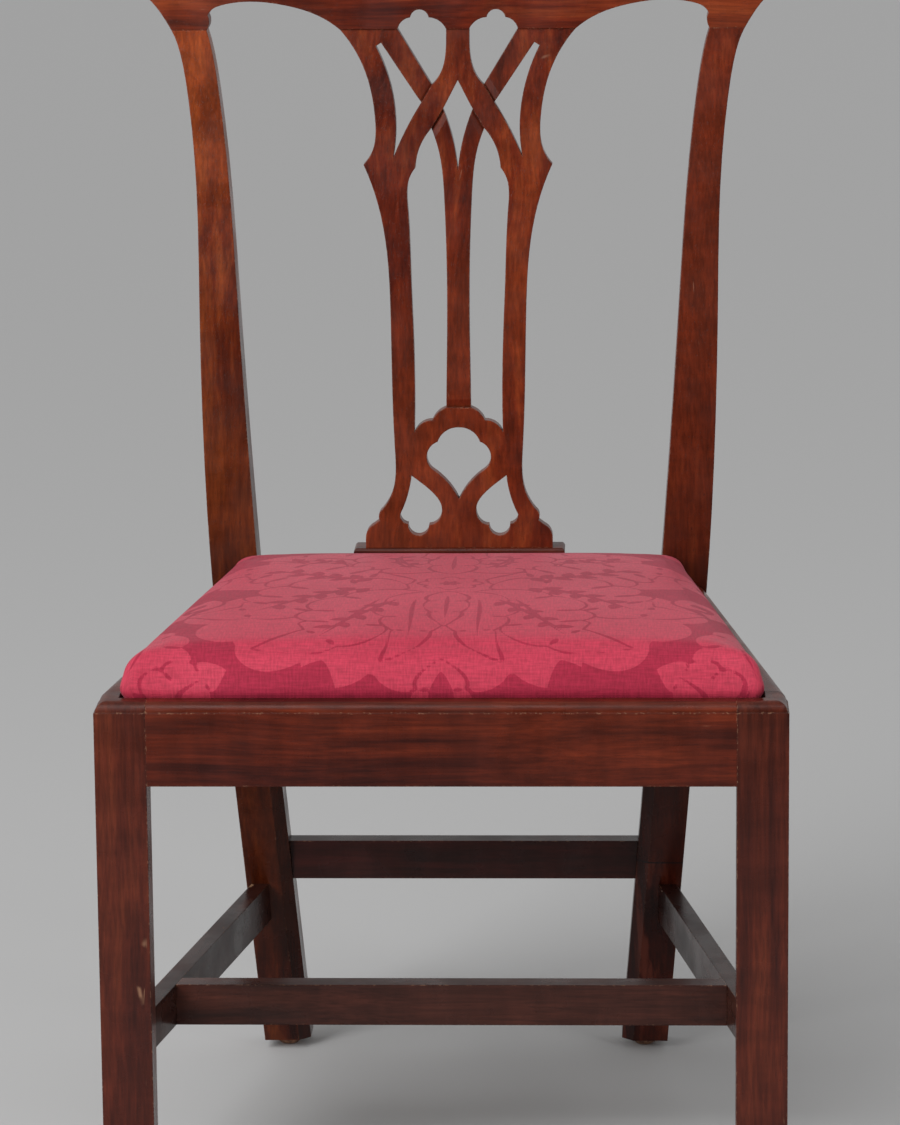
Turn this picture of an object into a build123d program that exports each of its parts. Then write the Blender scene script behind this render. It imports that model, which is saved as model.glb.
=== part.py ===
from build123d import *
from math import asin, cos, degrees, radians, sin, sqrt
import os

# Mahogany side chair with a pierced, interlaced splat and a drop-in seat, in millimetres.
# +X is to the viewer's right, +Z is up and the chair faces -Y.
# The origin is on the floor, under the middle of the chair's outer box.

# Overall form
front_width = 535.0  # across the outer faces of the front legs
seat_depth = 427.5  # front of the front legs to front of the rear posts
seat_height = 430.0  # floor to the top of the moulded lip round the seat
crest_top = 965.0  # floor to the middle of the crest rail
crest_height = 68.0  # middle of the crest rail down to the joint under it

# Sweep of the back, seen from the side
back_lean = 5.5  # degrees from upright where the posts leave the seat
back_radius = 3800.0
crest_thickness = 22.0

# Front legs and glides
leg_size = 40.0
leg_chamfer = 9.0  # on the inner corner that no rail meets
glide_height = 8.0
glide_radius = 10.5
glide_rim = 3.0  # upright band above the dome
glide_flat_radius = 4.5
glide_bulge = 1.3  # roundness of the dome between its flat and its rim
glide_shank_radius = 1.5
glide_shank_length = 18.0

# Rear posts, each one piece from the foot to the crest rail
post_width = 40.0
post_depth = 40.0
post_seat_half = 210.5  # centreline to the outer face at the seat
post_foot_half = 177.3  # centreline to the outer face at the foot
post_rake = 61.0  # how far the foot stands behind the seat joint
post_bend_radius = 260.0  # where the leg turns into its rake
post_chamfer = 10.0  # on the inner front corner of the leg
post_top_outer = 243.0
post_top_inner = 213.2

# Seat rails
rail_height = 66.0
rail_thickness = 30.0
lip_width = 18.0
lip_radius = 8.0  # quarter round along the lip
lip_step = 1.2  # small ledge under the quarter round
rabbet_depth = 14.0
rear_rail_reach = 12.0  # how far the rear rail stands in front of the posts
rear_rail_thickness = 46.0

# Stretchers
stretcher_height = 33.8
stretcher_top = 157.8
side_stretcher_thickness = 15.0
side_stretcher_front_inset = 8.0  # from the outer face of the front leg
side_stretcher_rear_inset = 3.5  # from the outer face of the rear leg
medial_setback = 158.0  # front of the legs to front of the medial stretcher
medial_thickness = 19.5
rear_stretcher_top = 193.8
rear_stretcher_thickness = 19.0
rear_stretcher_setback = 11.0  # behind the front of the rear leg

# Joinery
tenon_thickness = 12.0
tenon_shoulder = 8.0  # face of a rail or stretcher to the side of its tenon
front_tenon_length = 26.0
side_tenon_front_length = 18.0
side_tenon_rear_length = 29.0
rear_tenon_length = 15.0
stretcher_tenon_thickness = 8.0
stretcher_tenon_length = 17.0
medial_tenon_length = 8.0
post_tenon_height = 24.0
splat_tenon_height = 14.0
shoe_tenon_depth = 18.0
back_tenon_thickness = 7.0
strap_tenon_width = 24.0
strap_tenon_inset = 14.0  # from the splat's outer corner at the crest rail
stem_tenon_half = 5.5
joint_clearance = 0.15
tenon_root = 1.0  # how far a tenon's block starts inside its own piece
block_leg = 58.0  # how far a corner block reaches along a rail
block_height = 36.0
overcut = 1.0  # how far waste reaches past a face

# Splat and shoe
splat_setback = 1.0  # behind the front of the posts
splat_thickness = 12.0
splat_top_half = 100.0
splat_base_half = 79.5
strap_relief_depth = 3.0  # how far an under strap dips beside the strap that crosses it
strap_relief_run = 7.0
strap_relief_reach = 22.0  # each way along the strap on top, past the under strap's edges
over_strap_half = 9.2  # half the width of the strap on top where two cross
shoe_height = 32.7
shoe_reach = 0.5  # how far the shoe's foot stands in front of the posts
shoe_depth = 30.0
shoe_margin = 8.0  # splat to the end of the shoe's nosing
shoe_nosing = 7.0
shoe_nosing_bulge = 2.3
shoe_flare = 4.0  # how far the shoe's foot stands past its nosing
shoe_plinth = 4.0

# Drop-in seat
seat_clearance = 0.3
seat_side_gap = 1.0  # lip to the cover
seat_rear_gap = 2.5  # cover to the posts
seat_corner_radius = 8.0
cover_thickness = 1.2
cover_gap = 0.3
hem_width = 24.0
seat_frame_width = 48.0
seat_frame_thickness = 18.0
webbing_width = 50.0
webbing_thickness = 1.5
webbing_pitch = 92.0
webbing_count = 3
webbing_end_margin = 12.0
webbing_climb = 8.0  # length of the step where a strap climbs over the others
base_cloth_thickness = 0.8
base_cloth_margin = 9.0
cushion_rise = 16.0  # lip to where the cushion's sides start to round over
cushion_shoulder = 19.0  # height of the rounded edge above that
cushion_shoulder_inset = 20.0
cushion_crown = 10.0  # further rise to the middle
cushion_crown_inset = 120.0
cushion_draw_in = 1.0  # how far the cloth pulls in round the seat's frame
hem_tack_edge = 6.0  # inner edge of the hem to the middle of a tack
front_tack_shares = (-0.7, -0.35, 0, 0.35, 0.7)  # of half the seat's width
rear_tack_shares = (-0.6, -0.2, 0.2, 0.6)
side_tack_shares = (0.1, 0.37, 0.63, 0.9)  # of the way from the front lap to the rear one
tack_head = 5.0
tack_head_height = 0.8
tack_shank = 1.2
tack_length = 9.0
tack_hole_clearance = 0.15
tack_head_taper = 45  # degrees
tack_shank_taper = 2  # degrees

# Places worked out from the sizes above
sweep_centre_z = seat_height - back_radius * sin(radians(back_lean))


def sweep(z, behind=0.0):
    """Distance from the posts' front at the seat back to the swept surface at height z."""
    radius = back_radius - behind
    return back_radius * cos(radians(back_lean)) - sqrt(radius**2 - (z - sweep_centre_z) ** 2)


overall_depth = seat_depth + sweep(crest_top, crest_thickness)
crest_joint = crest_top - crest_height  # height of the joint under the crest rail
cushion_edge = seat_height + cushion_rise
front_y = -overall_depth / 2
post_y = front_y + seat_depth
foot_y = post_y + post_rake
leg_rear_y = front_y + leg_size
leg_outer = front_width / 2
leg_inner = leg_outer - leg_size
rail_bottom = seat_height - rail_height
ledge = seat_height - rabbet_depth
rail_inner_y = front_y + rail_thickness
rear_rail_y = post_y - rear_rail_reach
side_slope = (leg_outer - post_seat_half) / (post_y - leg_rear_y)
shoe_top = seat_height + shoe_height
stretcher_bottom = stretcher_top - stretcher_height
rear_stretcher_bottom = rear_stretcher_top - stretcher_height
stretcher_middle = stretcher_top - stretcher_height / 2
far = overall_depth + front_width  # long enough to pass any face of the chair


def back_y(z, behind=0.0):
    """Y of the surface that lies behind the posts' swept front by the given distance."""
    return post_y + sweep(z, behind)


def rake_y(z):
    """Y of the rear leg's front face, on its straight raked stretch."""
    return post_y + post_rake * (rail_bottom - z) / (rail_bottom - glide_height)


def post_outer_x(z):
    """Outer face of the rear leg below the seat, from the centreline."""
    share = (z - glide_height) / (seat_height - glide_height)
    return post_foot_half + share * (post_seat_half - post_foot_half)


def post_inner_x(z):
    return post_outer_x(z) - post_width


def side_rail_x(y, inwards=0.0):
    """A line along the side rail, measured inwards from its outer face."""
    return leg_outer - side_slope * (y - leg_rear_y) - inwards * sqrt(1 + side_slope**2)


def side_stretcher_x(y, inwards=0.0):
    """A line along the side stretcher, measured inwards from its outer face."""
    front = leg_outer - side_stretcher_front_inset
    rear = post_outer_x(stretcher_middle) - side_stretcher_rear_inset
    slope = (front - rear) / (rake_y(stretcher_middle) - leg_rear_y)
    return front - slope * (y - leg_rear_y) - inwards * sqrt(1 + slope**2)


def block(low, high, mode=Mode.ADD):
    """Add or cut a square-edged block between two corners in the current part."""
    with Locations(tuple((a + b) / 2 for a, b in zip(low, high))):
        Box(*[b - a for a, b in zip(low, high)], mode=mode)


def grown(corners, by=joint_clearance):
    """The corners of a tenon's block moved outwards, for its mortise."""
    low, high = corners
    return [v - by for v in low], [v + by for v in high]


def left(shape):
    """The left-hand copy of a right-hand piece."""
    return mirror(shape, about=Plane.YZ)


# Tenons on the right-hand side, each a pair of corners shared with its mortise
rail_tenon_z = (rail_bottom + tenon_shoulder, ledge - tenon_shoulder)
front_rail_tenon = (
    (leg_inner - tenon_root, front_y + tenon_shoulder, rail_tenon_z[0]),
    (leg_inner + front_tenon_length, front_y + tenon_shoulder + tenon_thickness, rail_tenon_z[1]),
)
side_front_x = side_rail_x(leg_rear_y, tenon_shoulder)
side_front_tenon = (
    (side_front_x - tenon_thickness, leg_rear_y - side_tenon_front_length, rail_tenon_z[0]),
    (side_front_x, leg_rear_y + tenon_root, rail_tenon_z[1]),
)
side_rear_x = side_rail_x(post_y, tenon_shoulder)
side_rear_tenon = (
    (side_rear_x - tenon_thickness, post_y - tenon_root, rail_tenon_z[0]),
    (side_rear_x, post_y + side_tenon_rear_length, rail_tenon_z[1]),
)
rear_rail_middle_y = post_y + post_depth / 2
rear_rail_tenon = (
    (
        post_inner_x(rail_bottom) - tenon_root,
        rear_rail_middle_y - tenon_thickness / 2,
        rail_tenon_z[0],
    ),
    (
        post_inner_x(rail_bottom) + rear_tenon_length,
        rear_rail_middle_y + tenon_thickness / 2,
        rail_tenon_z[1],
    ),
)
stretcher_tenon_z = (stretcher_bottom + tenon_shoulder, stretcher_top - tenon_shoulder)
side_stretcher_tenon_in = (side_stretcher_thickness - stretcher_tenon_thickness) / 2
side_stretcher_front_x = side_stretcher_x(leg_rear_y, side_stretcher_tenon_in)
side_stretcher_front_tenon = (
    (
        side_stretcher_front_x - stretcher_tenon_thickness,
        leg_rear_y - stretcher_tenon_length,
        stretcher_tenon_z[0],
    ),
    (side_stretcher_front_x, leg_rear_y + tenon_root, stretcher_tenon_z[1]),
)
side_stretcher_rear_x = side_stretcher_x(rake_y(stretcher_middle), side_stretcher_tenon_in)
side_stretcher_rear_tenon = (
    (
        side_stretcher_rear_x - stretcher_tenon_thickness,
        rake_y(stretcher_top) - tenon_root,
        stretcher_tenon_z[0],
    ),
    (side_stretcher_rear_x, rake_y(stretcher_middle) + stretcher_tenon_length, stretcher_tenon_z[1]),
)
medial_y = front_y + medial_setback
medial_tenon_y = medial_y + medial_thickness / 2
medial_tenon = (
    (
        side_stretcher_x(medial_y + medial_thickness, side_stretcher_thickness) - tenon_root,
        medial_tenon_y - stretcher_tenon_thickness / 2,
        stretcher_tenon_z[0],
    ),
    (
        side_stretcher_x(medial_tenon_y, side_stretcher_thickness) + medial_tenon_length,
        medial_tenon_y + stretcher_tenon_thickness / 2,
        stretcher_tenon_z[1],
    ),
)
rear_stretcher_y = rake_y(rear_stretcher_bottom) + rear_stretcher_setback
rear_stretcher_tenon_y = rear_stretcher_y + rear_stretcher_thickness / 2
rear_stretcher_tenon = (
    (
        post_inner_x(rear_stretcher_bottom) - tenon_root,
        rear_stretcher_tenon_y - stretcher_tenon_thickness / 2,
        rear_stretcher_bottom + tenon_shoulder,
    ),
    (
        post_inner_x(rear_stretcher_bottom) + stretcher_tenon_length,
        rear_stretcher_tenon_y + stretcher_tenon_thickness / 2,
        rear_stretcher_top - tenon_shoulder,
    ),
)


def back_slab(front, rear, low, high):
    """Block between two surfaces of the back's sweep, at two distances behind the posts' front."""
    heights = (low, (low + high) / 2, high)
    with BuildPart() as slab:
        with BuildSketch(Plane.YZ):
            with BuildLine():
                near = ThreePointArc(*[(back_y(z, front), z) for z in heights])
                back = ThreePointArc(*[(back_y(z, rear), z) for z in heights])
                Line(near @ 0, back @ 0)
                Line(near @ 1, back @ 1)
            make_face()
        extrude(amount=far, both=True)
    return slab.part


def back_tenon(inner, outer, low, high, clearance=0.0):
    """A tenon that follows the sweep, or its mortise when there is clearance."""
    middle = splat_setback + splat_thickness / 2
    half = back_tenon_thickness / 2 + clearance
    slab = back_slab(middle - half, middle + half, low - clearance, high + clearance)
    with BuildPart() as tenon:
        add(slab)
        block(
            (inner - clearance, -far, low - clearance),
            (outer + clearance, far, high + clearance),
            mode=Mode.INTERSECT,
        )
    return tenon.part


# Tenons under the crest rail: inner and outer edge from the centreline, and height
post_tenon_span = (post_top_inner + tenon_shoulder, post_top_outer - tenon_shoulder)
strap_tenon_outer = splat_top_half - strap_tenon_inset
strap_tenon_span = (strap_tenon_outer - strap_tenon_width, strap_tenon_outer)
post_tenon = back_tenon(*post_tenon_span, crest_joint - tenon_root, crest_joint + post_tenon_height)
strap_tenon = back_tenon(*strap_tenon_span, crest_joint - tenon_root, crest_joint + splat_tenon_height)
stem_tenon = back_tenon(
    -stem_tenon_half, stem_tenon_half, crest_joint - tenon_root, crest_joint + splat_tenon_height
)
shoe_tenon_half = splat_base_half - tenon_shoulder
shoe_tenon = back_tenon(-shoe_tenon_half, shoe_tenon_half, shoe_top - shoe_tenon_depth, shoe_top + tenon_root)
shoe_mortise = back_tenon(
    -shoe_tenon_half, shoe_tenon_half, shoe_top - shoe_tenon_depth, shoe_top + tenon_root, joint_clearance
)
post_mortise = back_tenon(
    *post_tenon_span, crest_joint - tenon_root, crest_joint + post_tenon_height, joint_clearance
)
strap_mortise = back_tenon(
    *strap_tenon_span, crest_joint - tenon_root, crest_joint + splat_tenon_height, joint_clearance
)
stem_mortise = back_tenon(
    -stem_tenon_half,
    stem_tenon_half,
    crest_joint - tenon_root,
    crest_joint + splat_tenon_height,
    joint_clearance,
)


# Front legs
def lip_cut(start, inward):
    """Waste outside the moulded lip, along the outer top edge through a start point."""
    plane = Plane(origin=start, x_dir=inward, z_dir=Vector(*inward).cross(Vector(0, 0, 1)))
    with BuildPart() as waste:
        with BuildSketch(plane):
            with BuildLine():
                Polyline(
                    (lip_step + lip_radius, 0),
                    (lip_step + lip_radius, overcut),
                    (-overcut, overcut),
                    (-overcut, -lip_radius),
                    (lip_step, -lip_radius),
                )
                RadiusArc((lip_step, -lip_radius), (lip_step + lip_radius, 0), lip_radius)
            make_face()
        extrude(amount=far, both=True)
    return waste.part


front_lip_cut = lip_cut((0, front_y, seat_height), (0, 1, 0))
side_lip_cut = lip_cut((leg_outer, 0, seat_height), (-1, 0, 0))
leg_centre = (leg_outer - leg_size / 2, front_y + leg_size / 2)

with BuildPart() as front_leg_right:
    block((leg_inner, front_y, glide_height), (leg_outer, leg_rear_y, seat_height))
    add(front_lip_cut, mode=Mode.SUBTRACT)
    add(side_lip_cut, mode=Mode.SUBTRACT)
    block(
        (leg_inner - tenon_root, front_y + lip_width, ledge),
        (leg_outer - lip_width, leg_rear_y + overcut, seat_height + overcut),
        mode=Mode.SUBTRACT,
    )
    with BuildSketch(Plane.XY.offset(glide_height)):
        with BuildLine():
            Polyline(
                (leg_inner, leg_rear_y),
                (leg_inner + leg_chamfer, leg_rear_y),
                (leg_inner, leg_rear_y - leg_chamfer),
                close=True,
            )
        make_face()
    extrude(amount=rail_bottom - glide_height, mode=Mode.SUBTRACT)
    for tenon in (front_rail_tenon, side_front_tenon, side_stretcher_front_tenon):
        block(*grown(tenon), mode=Mode.SUBTRACT)
    with Locations((*leg_centre, glide_height + glide_shank_length / 2)):
        Cylinder(
            glide_shank_radius + joint_clearance,
            glide_shank_length + 2 * joint_clearance,
            mode=Mode.SUBTRACT,
        )

# Rear posts
lower_slope = (post_seat_half - post_foot_half, seat_height - glide_height)
foot_centre = (post_foot_half - post_width / 2, foot_y + post_depth / 2)

leg_edge_foot = Vector(post_foot_half - post_width, foot_y, glide_height)
leg_edge_top = Vector(post_inner_x(rail_bottom), post_y, rail_bottom)
with BuildPart() as post_chamfer_cut:
    with BuildSketch(Plane(leg_edge_foot, x_dir=(1, 0, 0), z_dir=leg_edge_top - leg_edge_foot)):
        with BuildLine():
            Polyline(
                (-post_chamfer, -post_chamfer),
                (2 * post_chamfer, -post_chamfer),
                (-post_chamfer, 2 * post_chamfer),
                close=True,
            )
        make_face()
    extrude(amount=(leg_edge_top - leg_edge_foot).length)
    extrude(post_chamfer_cut.faces().sort_by(Axis.Z)[0], amount=post_chamfer)

with BuildPart() as rear_post_right:
    with BuildSketch(Plane.XZ):
        with BuildLine():
            outer = Spline(
                (post_seat_half, seat_height),
                (post_top_outer - 23, crest_joint - 229),
                (post_top_outer - 14, crest_joint - 55),
                (post_top_outer, crest_joint),
                tangents=(lower_slope, (1, 1.7)),
            )
            inner = Spline(
                (post_seat_half - post_width, seat_height),
                (post_top_inner - 26, crest_joint - 229),
                (post_top_inner - 11, crest_joint - 55),
                (post_top_inner, crest_joint),
                tangents=(lower_slope, (1, 3)),
            )
            Line(outer @ 1, inner @ 1)
            Polyline(
                outer @ 0,
                (post_foot_half, glide_height),
                (post_foot_half - post_width, glide_height),
                inner @ 0,
            )
        make_face()
    extrude(amount=far, both=True)
    with BuildSketch(Plane.YZ):
        with BuildLine():
            bend = FilletPolyline(
                (foot_y, glide_height),
                (post_y, rail_bottom),
                (post_y, seat_height),
                radius=post_bend_radius,
            )
            back_bend = FilletPolyline(
                (foot_y + post_depth, glide_height),
                (post_y + post_depth, rail_bottom),
                (post_y + post_depth, seat_height),
                radius=post_bend_radius + post_depth,
            )
            half_way = (seat_height + crest_joint) / 2
            front_sweep = ThreePointArc(
                *[(back_y(z), z) for z in (seat_height, half_way, crest_joint)]
            )
            taper = (post_depth + crest_thickness) / 2
            rear_sweep = ThreePointArc(
                (post_y + post_depth, seat_height),
                (back_y(half_way, taper), half_way),
                (back_y(crest_joint, crest_thickness), crest_joint),
            )
            Line(front_sweep @ 1, rear_sweep @ 1)
            Line(bend @ 0, back_bend @ 0)
        make_face()
    extrude(amount=far, both=True, mode=Mode.INTERSECT)
    add(post_chamfer_cut.part, mode=Mode.SUBTRACT)
    add(post_tenon)
    for tenon in (
        side_rear_tenon,
        rear_rail_tenon,
        side_stretcher_rear_tenon,
        rear_stretcher_tenon,
    ):
        block(*grown(tenon), mode=Mode.SUBTRACT)
    with Locations((*foot_centre, glide_height + glide_shank_length / 2)):
        Cylinder(
            glide_shank_radius + joint_clearance,
            glide_shank_length + 2 * joint_clearance,
            mode=Mode.SUBTRACT,
        )


# Seat rails
def rail_section():
    """Section of a front or side rail: x runs inwards from its outer face and y is the height."""
    with BuildLine() as outline:
        Polyline(
            (lip_step + lip_radius, seat_height),
            (lip_width, seat_height),
            (lip_width, ledge),
            (rail_thickness, ledge),
            (rail_thickness, rail_bottom),
            (0, rail_bottom),
            (0, seat_height - lip_radius),
            (lip_step, seat_height - lip_radius),
        )
        RadiusArc(
            (lip_step, seat_height - lip_radius),
            (lip_step + lip_radius, seat_height),
            lip_radius,
        )
    make_face(outline.edges())


with BuildPart() as front_seat_rail:
    with BuildSketch(Plane((0, front_y, 0), x_dir=(0, 1, 0), z_dir=(1, 0, 0))):
        rail_section()
    extrude(amount=leg_inner, both=True)
    block(*front_rail_tenon)
    mirror(about=Plane.YZ)

with BuildPart() as side_seat_rail_right:
    rail_run = Vector(post_seat_half - leg_outer, post_y - leg_rear_y, 0)
    with BuildSketch(
        Plane((leg_outer, leg_rear_y, 0), x_dir=Vector(0, 0, 1).cross(rail_run), z_dir=rail_run)
    ):
        rail_section()
    extrude(amount=far, both=True)
    block((0, leg_rear_y, 0), (far, post_y, seat_height), mode=Mode.INTERSECT)
    block(*side_front_tenon)
    block(*side_rear_tenon)

with BuildPart() as rear_seat_rail:
    with BuildSketch(Plane.XZ.offset(-rear_rail_y)):
        with BuildLine():
            Polyline(
                (0, rail_bottom),
                (post_inner_x(rail_bottom), rail_bottom),
                (post_inner_x(seat_height), seat_height),
                (0, seat_height),
                close=True,
            )
        make_face()
        mirror(about=Plane.YZ)
    extrude(amount=-rear_rail_thickness)
    block(
        (-far, rear_rail_y - overcut, ledge),
        (far, post_y, seat_height + overcut),
        mode=Mode.SUBTRACT,
    )
    block(*rear_rail_tenon)
    mirror(about=Plane.YZ)

# Corner blocks, glued inside the rails
block_top = ledge - tenon_shoulder
with BuildPart() as corner_block_front_right:
    with BuildSketch(Plane.XY.offset(block_top - block_height)):
        with BuildLine():
            Polyline(
                (leg_inner - block_leg, rail_inner_y),
                (leg_inner, rail_inner_y),
                (leg_inner, leg_rear_y),
                (side_rail_x(leg_rear_y, rail_thickness), leg_rear_y),
                (side_rail_x(leg_rear_y + block_leg, rail_thickness), leg_rear_y + block_leg),
                close=True,
            )
        make_face()
    extrude(amount=block_height)

with BuildPart() as corner_block_rear_right:
    with BuildSketch(Plane.XY.offset(block_top - block_height)):
        with BuildLine():
            Polyline(
                (post_inner_x(rail_bottom) - block_leg, rear_rail_y),
                (side_rail_x(rear_rail_y, rail_thickness), rear_rail_y),
                (side_rail_x(rear_rail_y - block_leg, rail_thickness), rear_rail_y - block_leg),
                close=True,
            )
        make_face()
    extrude(amount=block_height)

# Stretchers
with BuildPart() as side_stretcher_right:
    with BuildSketch(Plane.XY.offset(stretcher_bottom)):
        rear_end = rake_y(stretcher_bottom)
        with BuildLine():
            Polyline(
                (side_stretcher_x(leg_rear_y), leg_rear_y),
                (side_stretcher_x(rear_end), rear_end),
                (side_stretcher_x(rear_end, side_stretcher_thickness), rear_end),
                (side_stretcher_x(leg_rear_y, side_stretcher_thickness), leg_rear_y),
                close=True,
            )
        make_face()
    extrude(amount=stretcher_height)
    with BuildSketch(Plane.YZ):
        with BuildLine():
            Polyline(
                (leg_rear_y, stretcher_bottom),
                (rake_y(stretcher_bottom), stretcher_bottom),
                (rake_y(stretcher_top), stretcher_top),
                (leg_rear_y, stretcher_top),
                close=True,
            )
        make_face()
    extrude(amount=far, mode=Mode.INTERSECT)
    block(*side_stretcher_front_tenon)
    block(*side_stretcher_rear_tenon)
    block(*grown(medial_tenon), mode=Mode.SUBTRACT)

with BuildPart() as medial_stretcher:
    with BuildSketch(Plane.XY.offset(stretcher_bottom)):
        medial_rear_y = medial_y + medial_thickness
        with BuildLine():
            Polyline(
                (0, medial_y),
                (side_stretcher_x(medial_y, side_stretcher_thickness), medial_y),
                (side_stretcher_x(medial_rear_y, side_stretcher_thickness), medial_rear_y),
                (0, medial_rear_y),
                close=True,
            )
        make_face()
        mirror(about=Plane.YZ)
    extrude(amount=stretcher_height)
    block(*medial_tenon)
    mirror(about=Plane.YZ)

with BuildPart() as rear_stretcher:
    with BuildSketch(Plane.XZ.offset(-rear_stretcher_y)):
        with BuildLine():
            Polyline(
                (0, rear_stretcher_bottom),
                (post_inner_x(rear_stretcher_bottom), rear_stretcher_bottom),
                (post_inner_x(rear_stretcher_top), rear_stretcher_top),
                (0, rear_stretcher_top),
                close=True,
            )
        make_face()
        mirror(about=Plane.YZ)
    extrude(amount=-rear_stretcher_thickness)
    block(*rear_stretcher_tenon)
    mirror(about=Plane.YZ)


# Splat and crest rail. Heights near the crest are given as drops below its joint,
# and heights near the foot of the splat as rises above the shoe.
def drop(x, below):
    return (x, crest_joint - below)


def rise(x, above):
    return (x, shoe_top + above)


stem_half = 9.8  # centre stem where it enters the crest rail
strap_corner_top = drop(22.2, 46.5)  # the four corners where two straps cross
strap_corner_outer = drop(30.9, 61.1)
strap_corner_low = drop(22.5, 82.4)
strap_corner_inner = drop(12.6, 66.5)
opening_corner = drop(51.0, 0)


def lobed_opening():
    """Opening between two straps, with a three-lobed head in the crest rail."""
    with BuildLine() as outline:
        Line(opening_corner, strap_corner_top)
        Spline(strap_corner_top, drop(13.9, 35), drop(stem_half, 7), drop(stem_half, 0))
        ThreePointArc(drop(stem_half, 0), drop(15.6, -6.8), drop(24.6, -9.7))
        ThreePointArc(drop(24.6, -9.7), drop(32.5, -16.3), drop(40.4, -9.7))
        ThreePointArc(drop(40.4, -9.7), drop(48, -5.9), opening_corner)
    make_face(outline.edges(), mode=Mode.SUBTRACT)


def strap_slot():
    """Slim opening between the outer strap and the crossing pair."""
    top_outer, top_inner, foot = drop(69.5, 14), drop(65, 11.2), drop(54.8, 106.5)
    with BuildLine() as outline:
        Polyline(top_outer, top_inner, strap_corner_outer)
        ThreePointArc(strap_corner_outer, drop(43.6, 82.5), foot)
        Spline(foot, drop(52.4, 79), drop(56.5, 48), top_outer)
    make_face(outline.edges(), mode=Mode.SUBTRACT)


def diamond():
    """Right half of the opening above the centre stem."""
    point, apex = drop(0, 117.5), drop(0, 42.5)
    with BuildLine() as outline:
        Polyline(point, apex, strap_corner_inner)
        ThreePointArc(strap_corner_inner, drop(5.4, 87), point)
    make_face(outline.edges(), mode=Mode.SUBTRACT)


def tall_slot():
    """Long opening between the centre stem and the outer upright, down to the ring."""
    cusp = drop(36.2, 115.3)
    ring_side, ring_cusp, ring_shoulder = rise(37.5, 97.8), rise(22.4, 107.9), rise(10.4, 118.6)
    with BuildLine() as outline:
        Spline(strap_corner_low, drop(31.5, 96), cusp)
        Spline(cusp, drop(41.3, 124), drop(42.4, 150), drop(40, 205), drop(38, 255), ring_side)
        ThreePointArc(ring_side, rise(31.5, 105.3), ring_cusp)
        ThreePointArc(ring_cusp, rise(17.5, 114.6), ring_shoulder)
        Spline(
            ring_shoulder,
            drop(9.5, 250),
            drop(11.6, 140),
            drop(15.5, 104),
            strap_corner_low,
        )
    make_face(outline.edges(), mode=Mode.SUBTRACT)


def ring_opening():
    """Right half of the lobed opening inside the ring."""
    head, cusp, waist, point = rise(0, 102), rise(18, 89.9), rise(21, 65.6), rise(0, 41.5)
    with BuildLine() as outline:
        ThreePointArc(head, rise(11.5, 98.6), cusp)
        ThreePointArc(cusp, rise(27.2, 78), waist)
        Spline(waist, rise(9, 55), point)
        Line(point, head)
    make_face(outline.edges(), mode=Mode.SUBTRACT)


def foot_opening():
    """Teardrop beside the ring's stem, with a lobed foot."""
    tip, inner_cusp, outer_cusp, corner = (
        rise(40.4, 61.5),
        rise(25.6, 19.5),
        rise(43.3, 20.3),
        rise(50.2, 28.5),
    )
    with BuildLine() as outline:
        Spline(tip, rise(22, 46.7), rise(14.6, 33.5), rise(17.5, 23.5), inner_cusp)
        ThreePointArc(inner_cusp, rise(33.6, 10.6), outer_cusp)
        ThreePointArc(outer_cusp, rise(49, 24), corner)
        Spline(corner, rise(43, 47), tip)
    make_face(outline.edges(), mode=Mode.SUBTRACT)


def strap_relief(x, z, across, half_width, both_edges):
    """Waste that sinks an under strap beside the strap crossing over it at a point."""
    lean = asin((z - sweep_centre_z) / back_radius)
    side = Vector(1, 0, 0)
    up = Vector(0, sin(lean), cos(lean))
    across_dir = side * cos(radians(across)) + up * sin(radians(across))
    along_dir = up * cos(radians(across)) - side * sin(radians(across))
    origin = (x, back_y(z, splat_setback), z)
    with BuildPart() as waste:
        with BuildSketch(Plane(origin, x_dir=across_dir, z_dir=along_dir * -1)):
            with BuildLine():
                Polyline(
                    (half_width, strap_relief_depth),
                    (half_width, -strap_relief_depth),
                    (half_width + strap_relief_run, 0),
                    (half_width + strap_relief_run, strap_relief_depth),
                    close=True,
                )
            make_face()
            if both_edges:
                mirror(about=Plane.YZ)
        extrude(amount=strap_relief_reach, both=True)
    return waste.part


over_strap = Vector(*strap_corner_outer) - Vector(*strap_corner_top)
over_strap_across = degrees(asin(over_strap.X / over_strap.length))
crossing_x = (strap_corner_top[0] + strap_corner_low[0]) / 2
crossing_z = (strap_corner_top[1] + strap_corner_low[1]) / 2
crossing_relief = strap_relief(crossing_x, crossing_z, over_strap_across, over_strap_half, True)
ring_top = rise(0, 118.6)[1]
stem_relief = strap_relief(0, ring_top, 90, 0, False)
splat_slab = back_slab(
    splat_setback, splat_setback + splat_thickness, shoe_top, crest_joint
)
crest_slab = back_slab(0, crest_thickness, crest_joint, crest_top + overcut)

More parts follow.
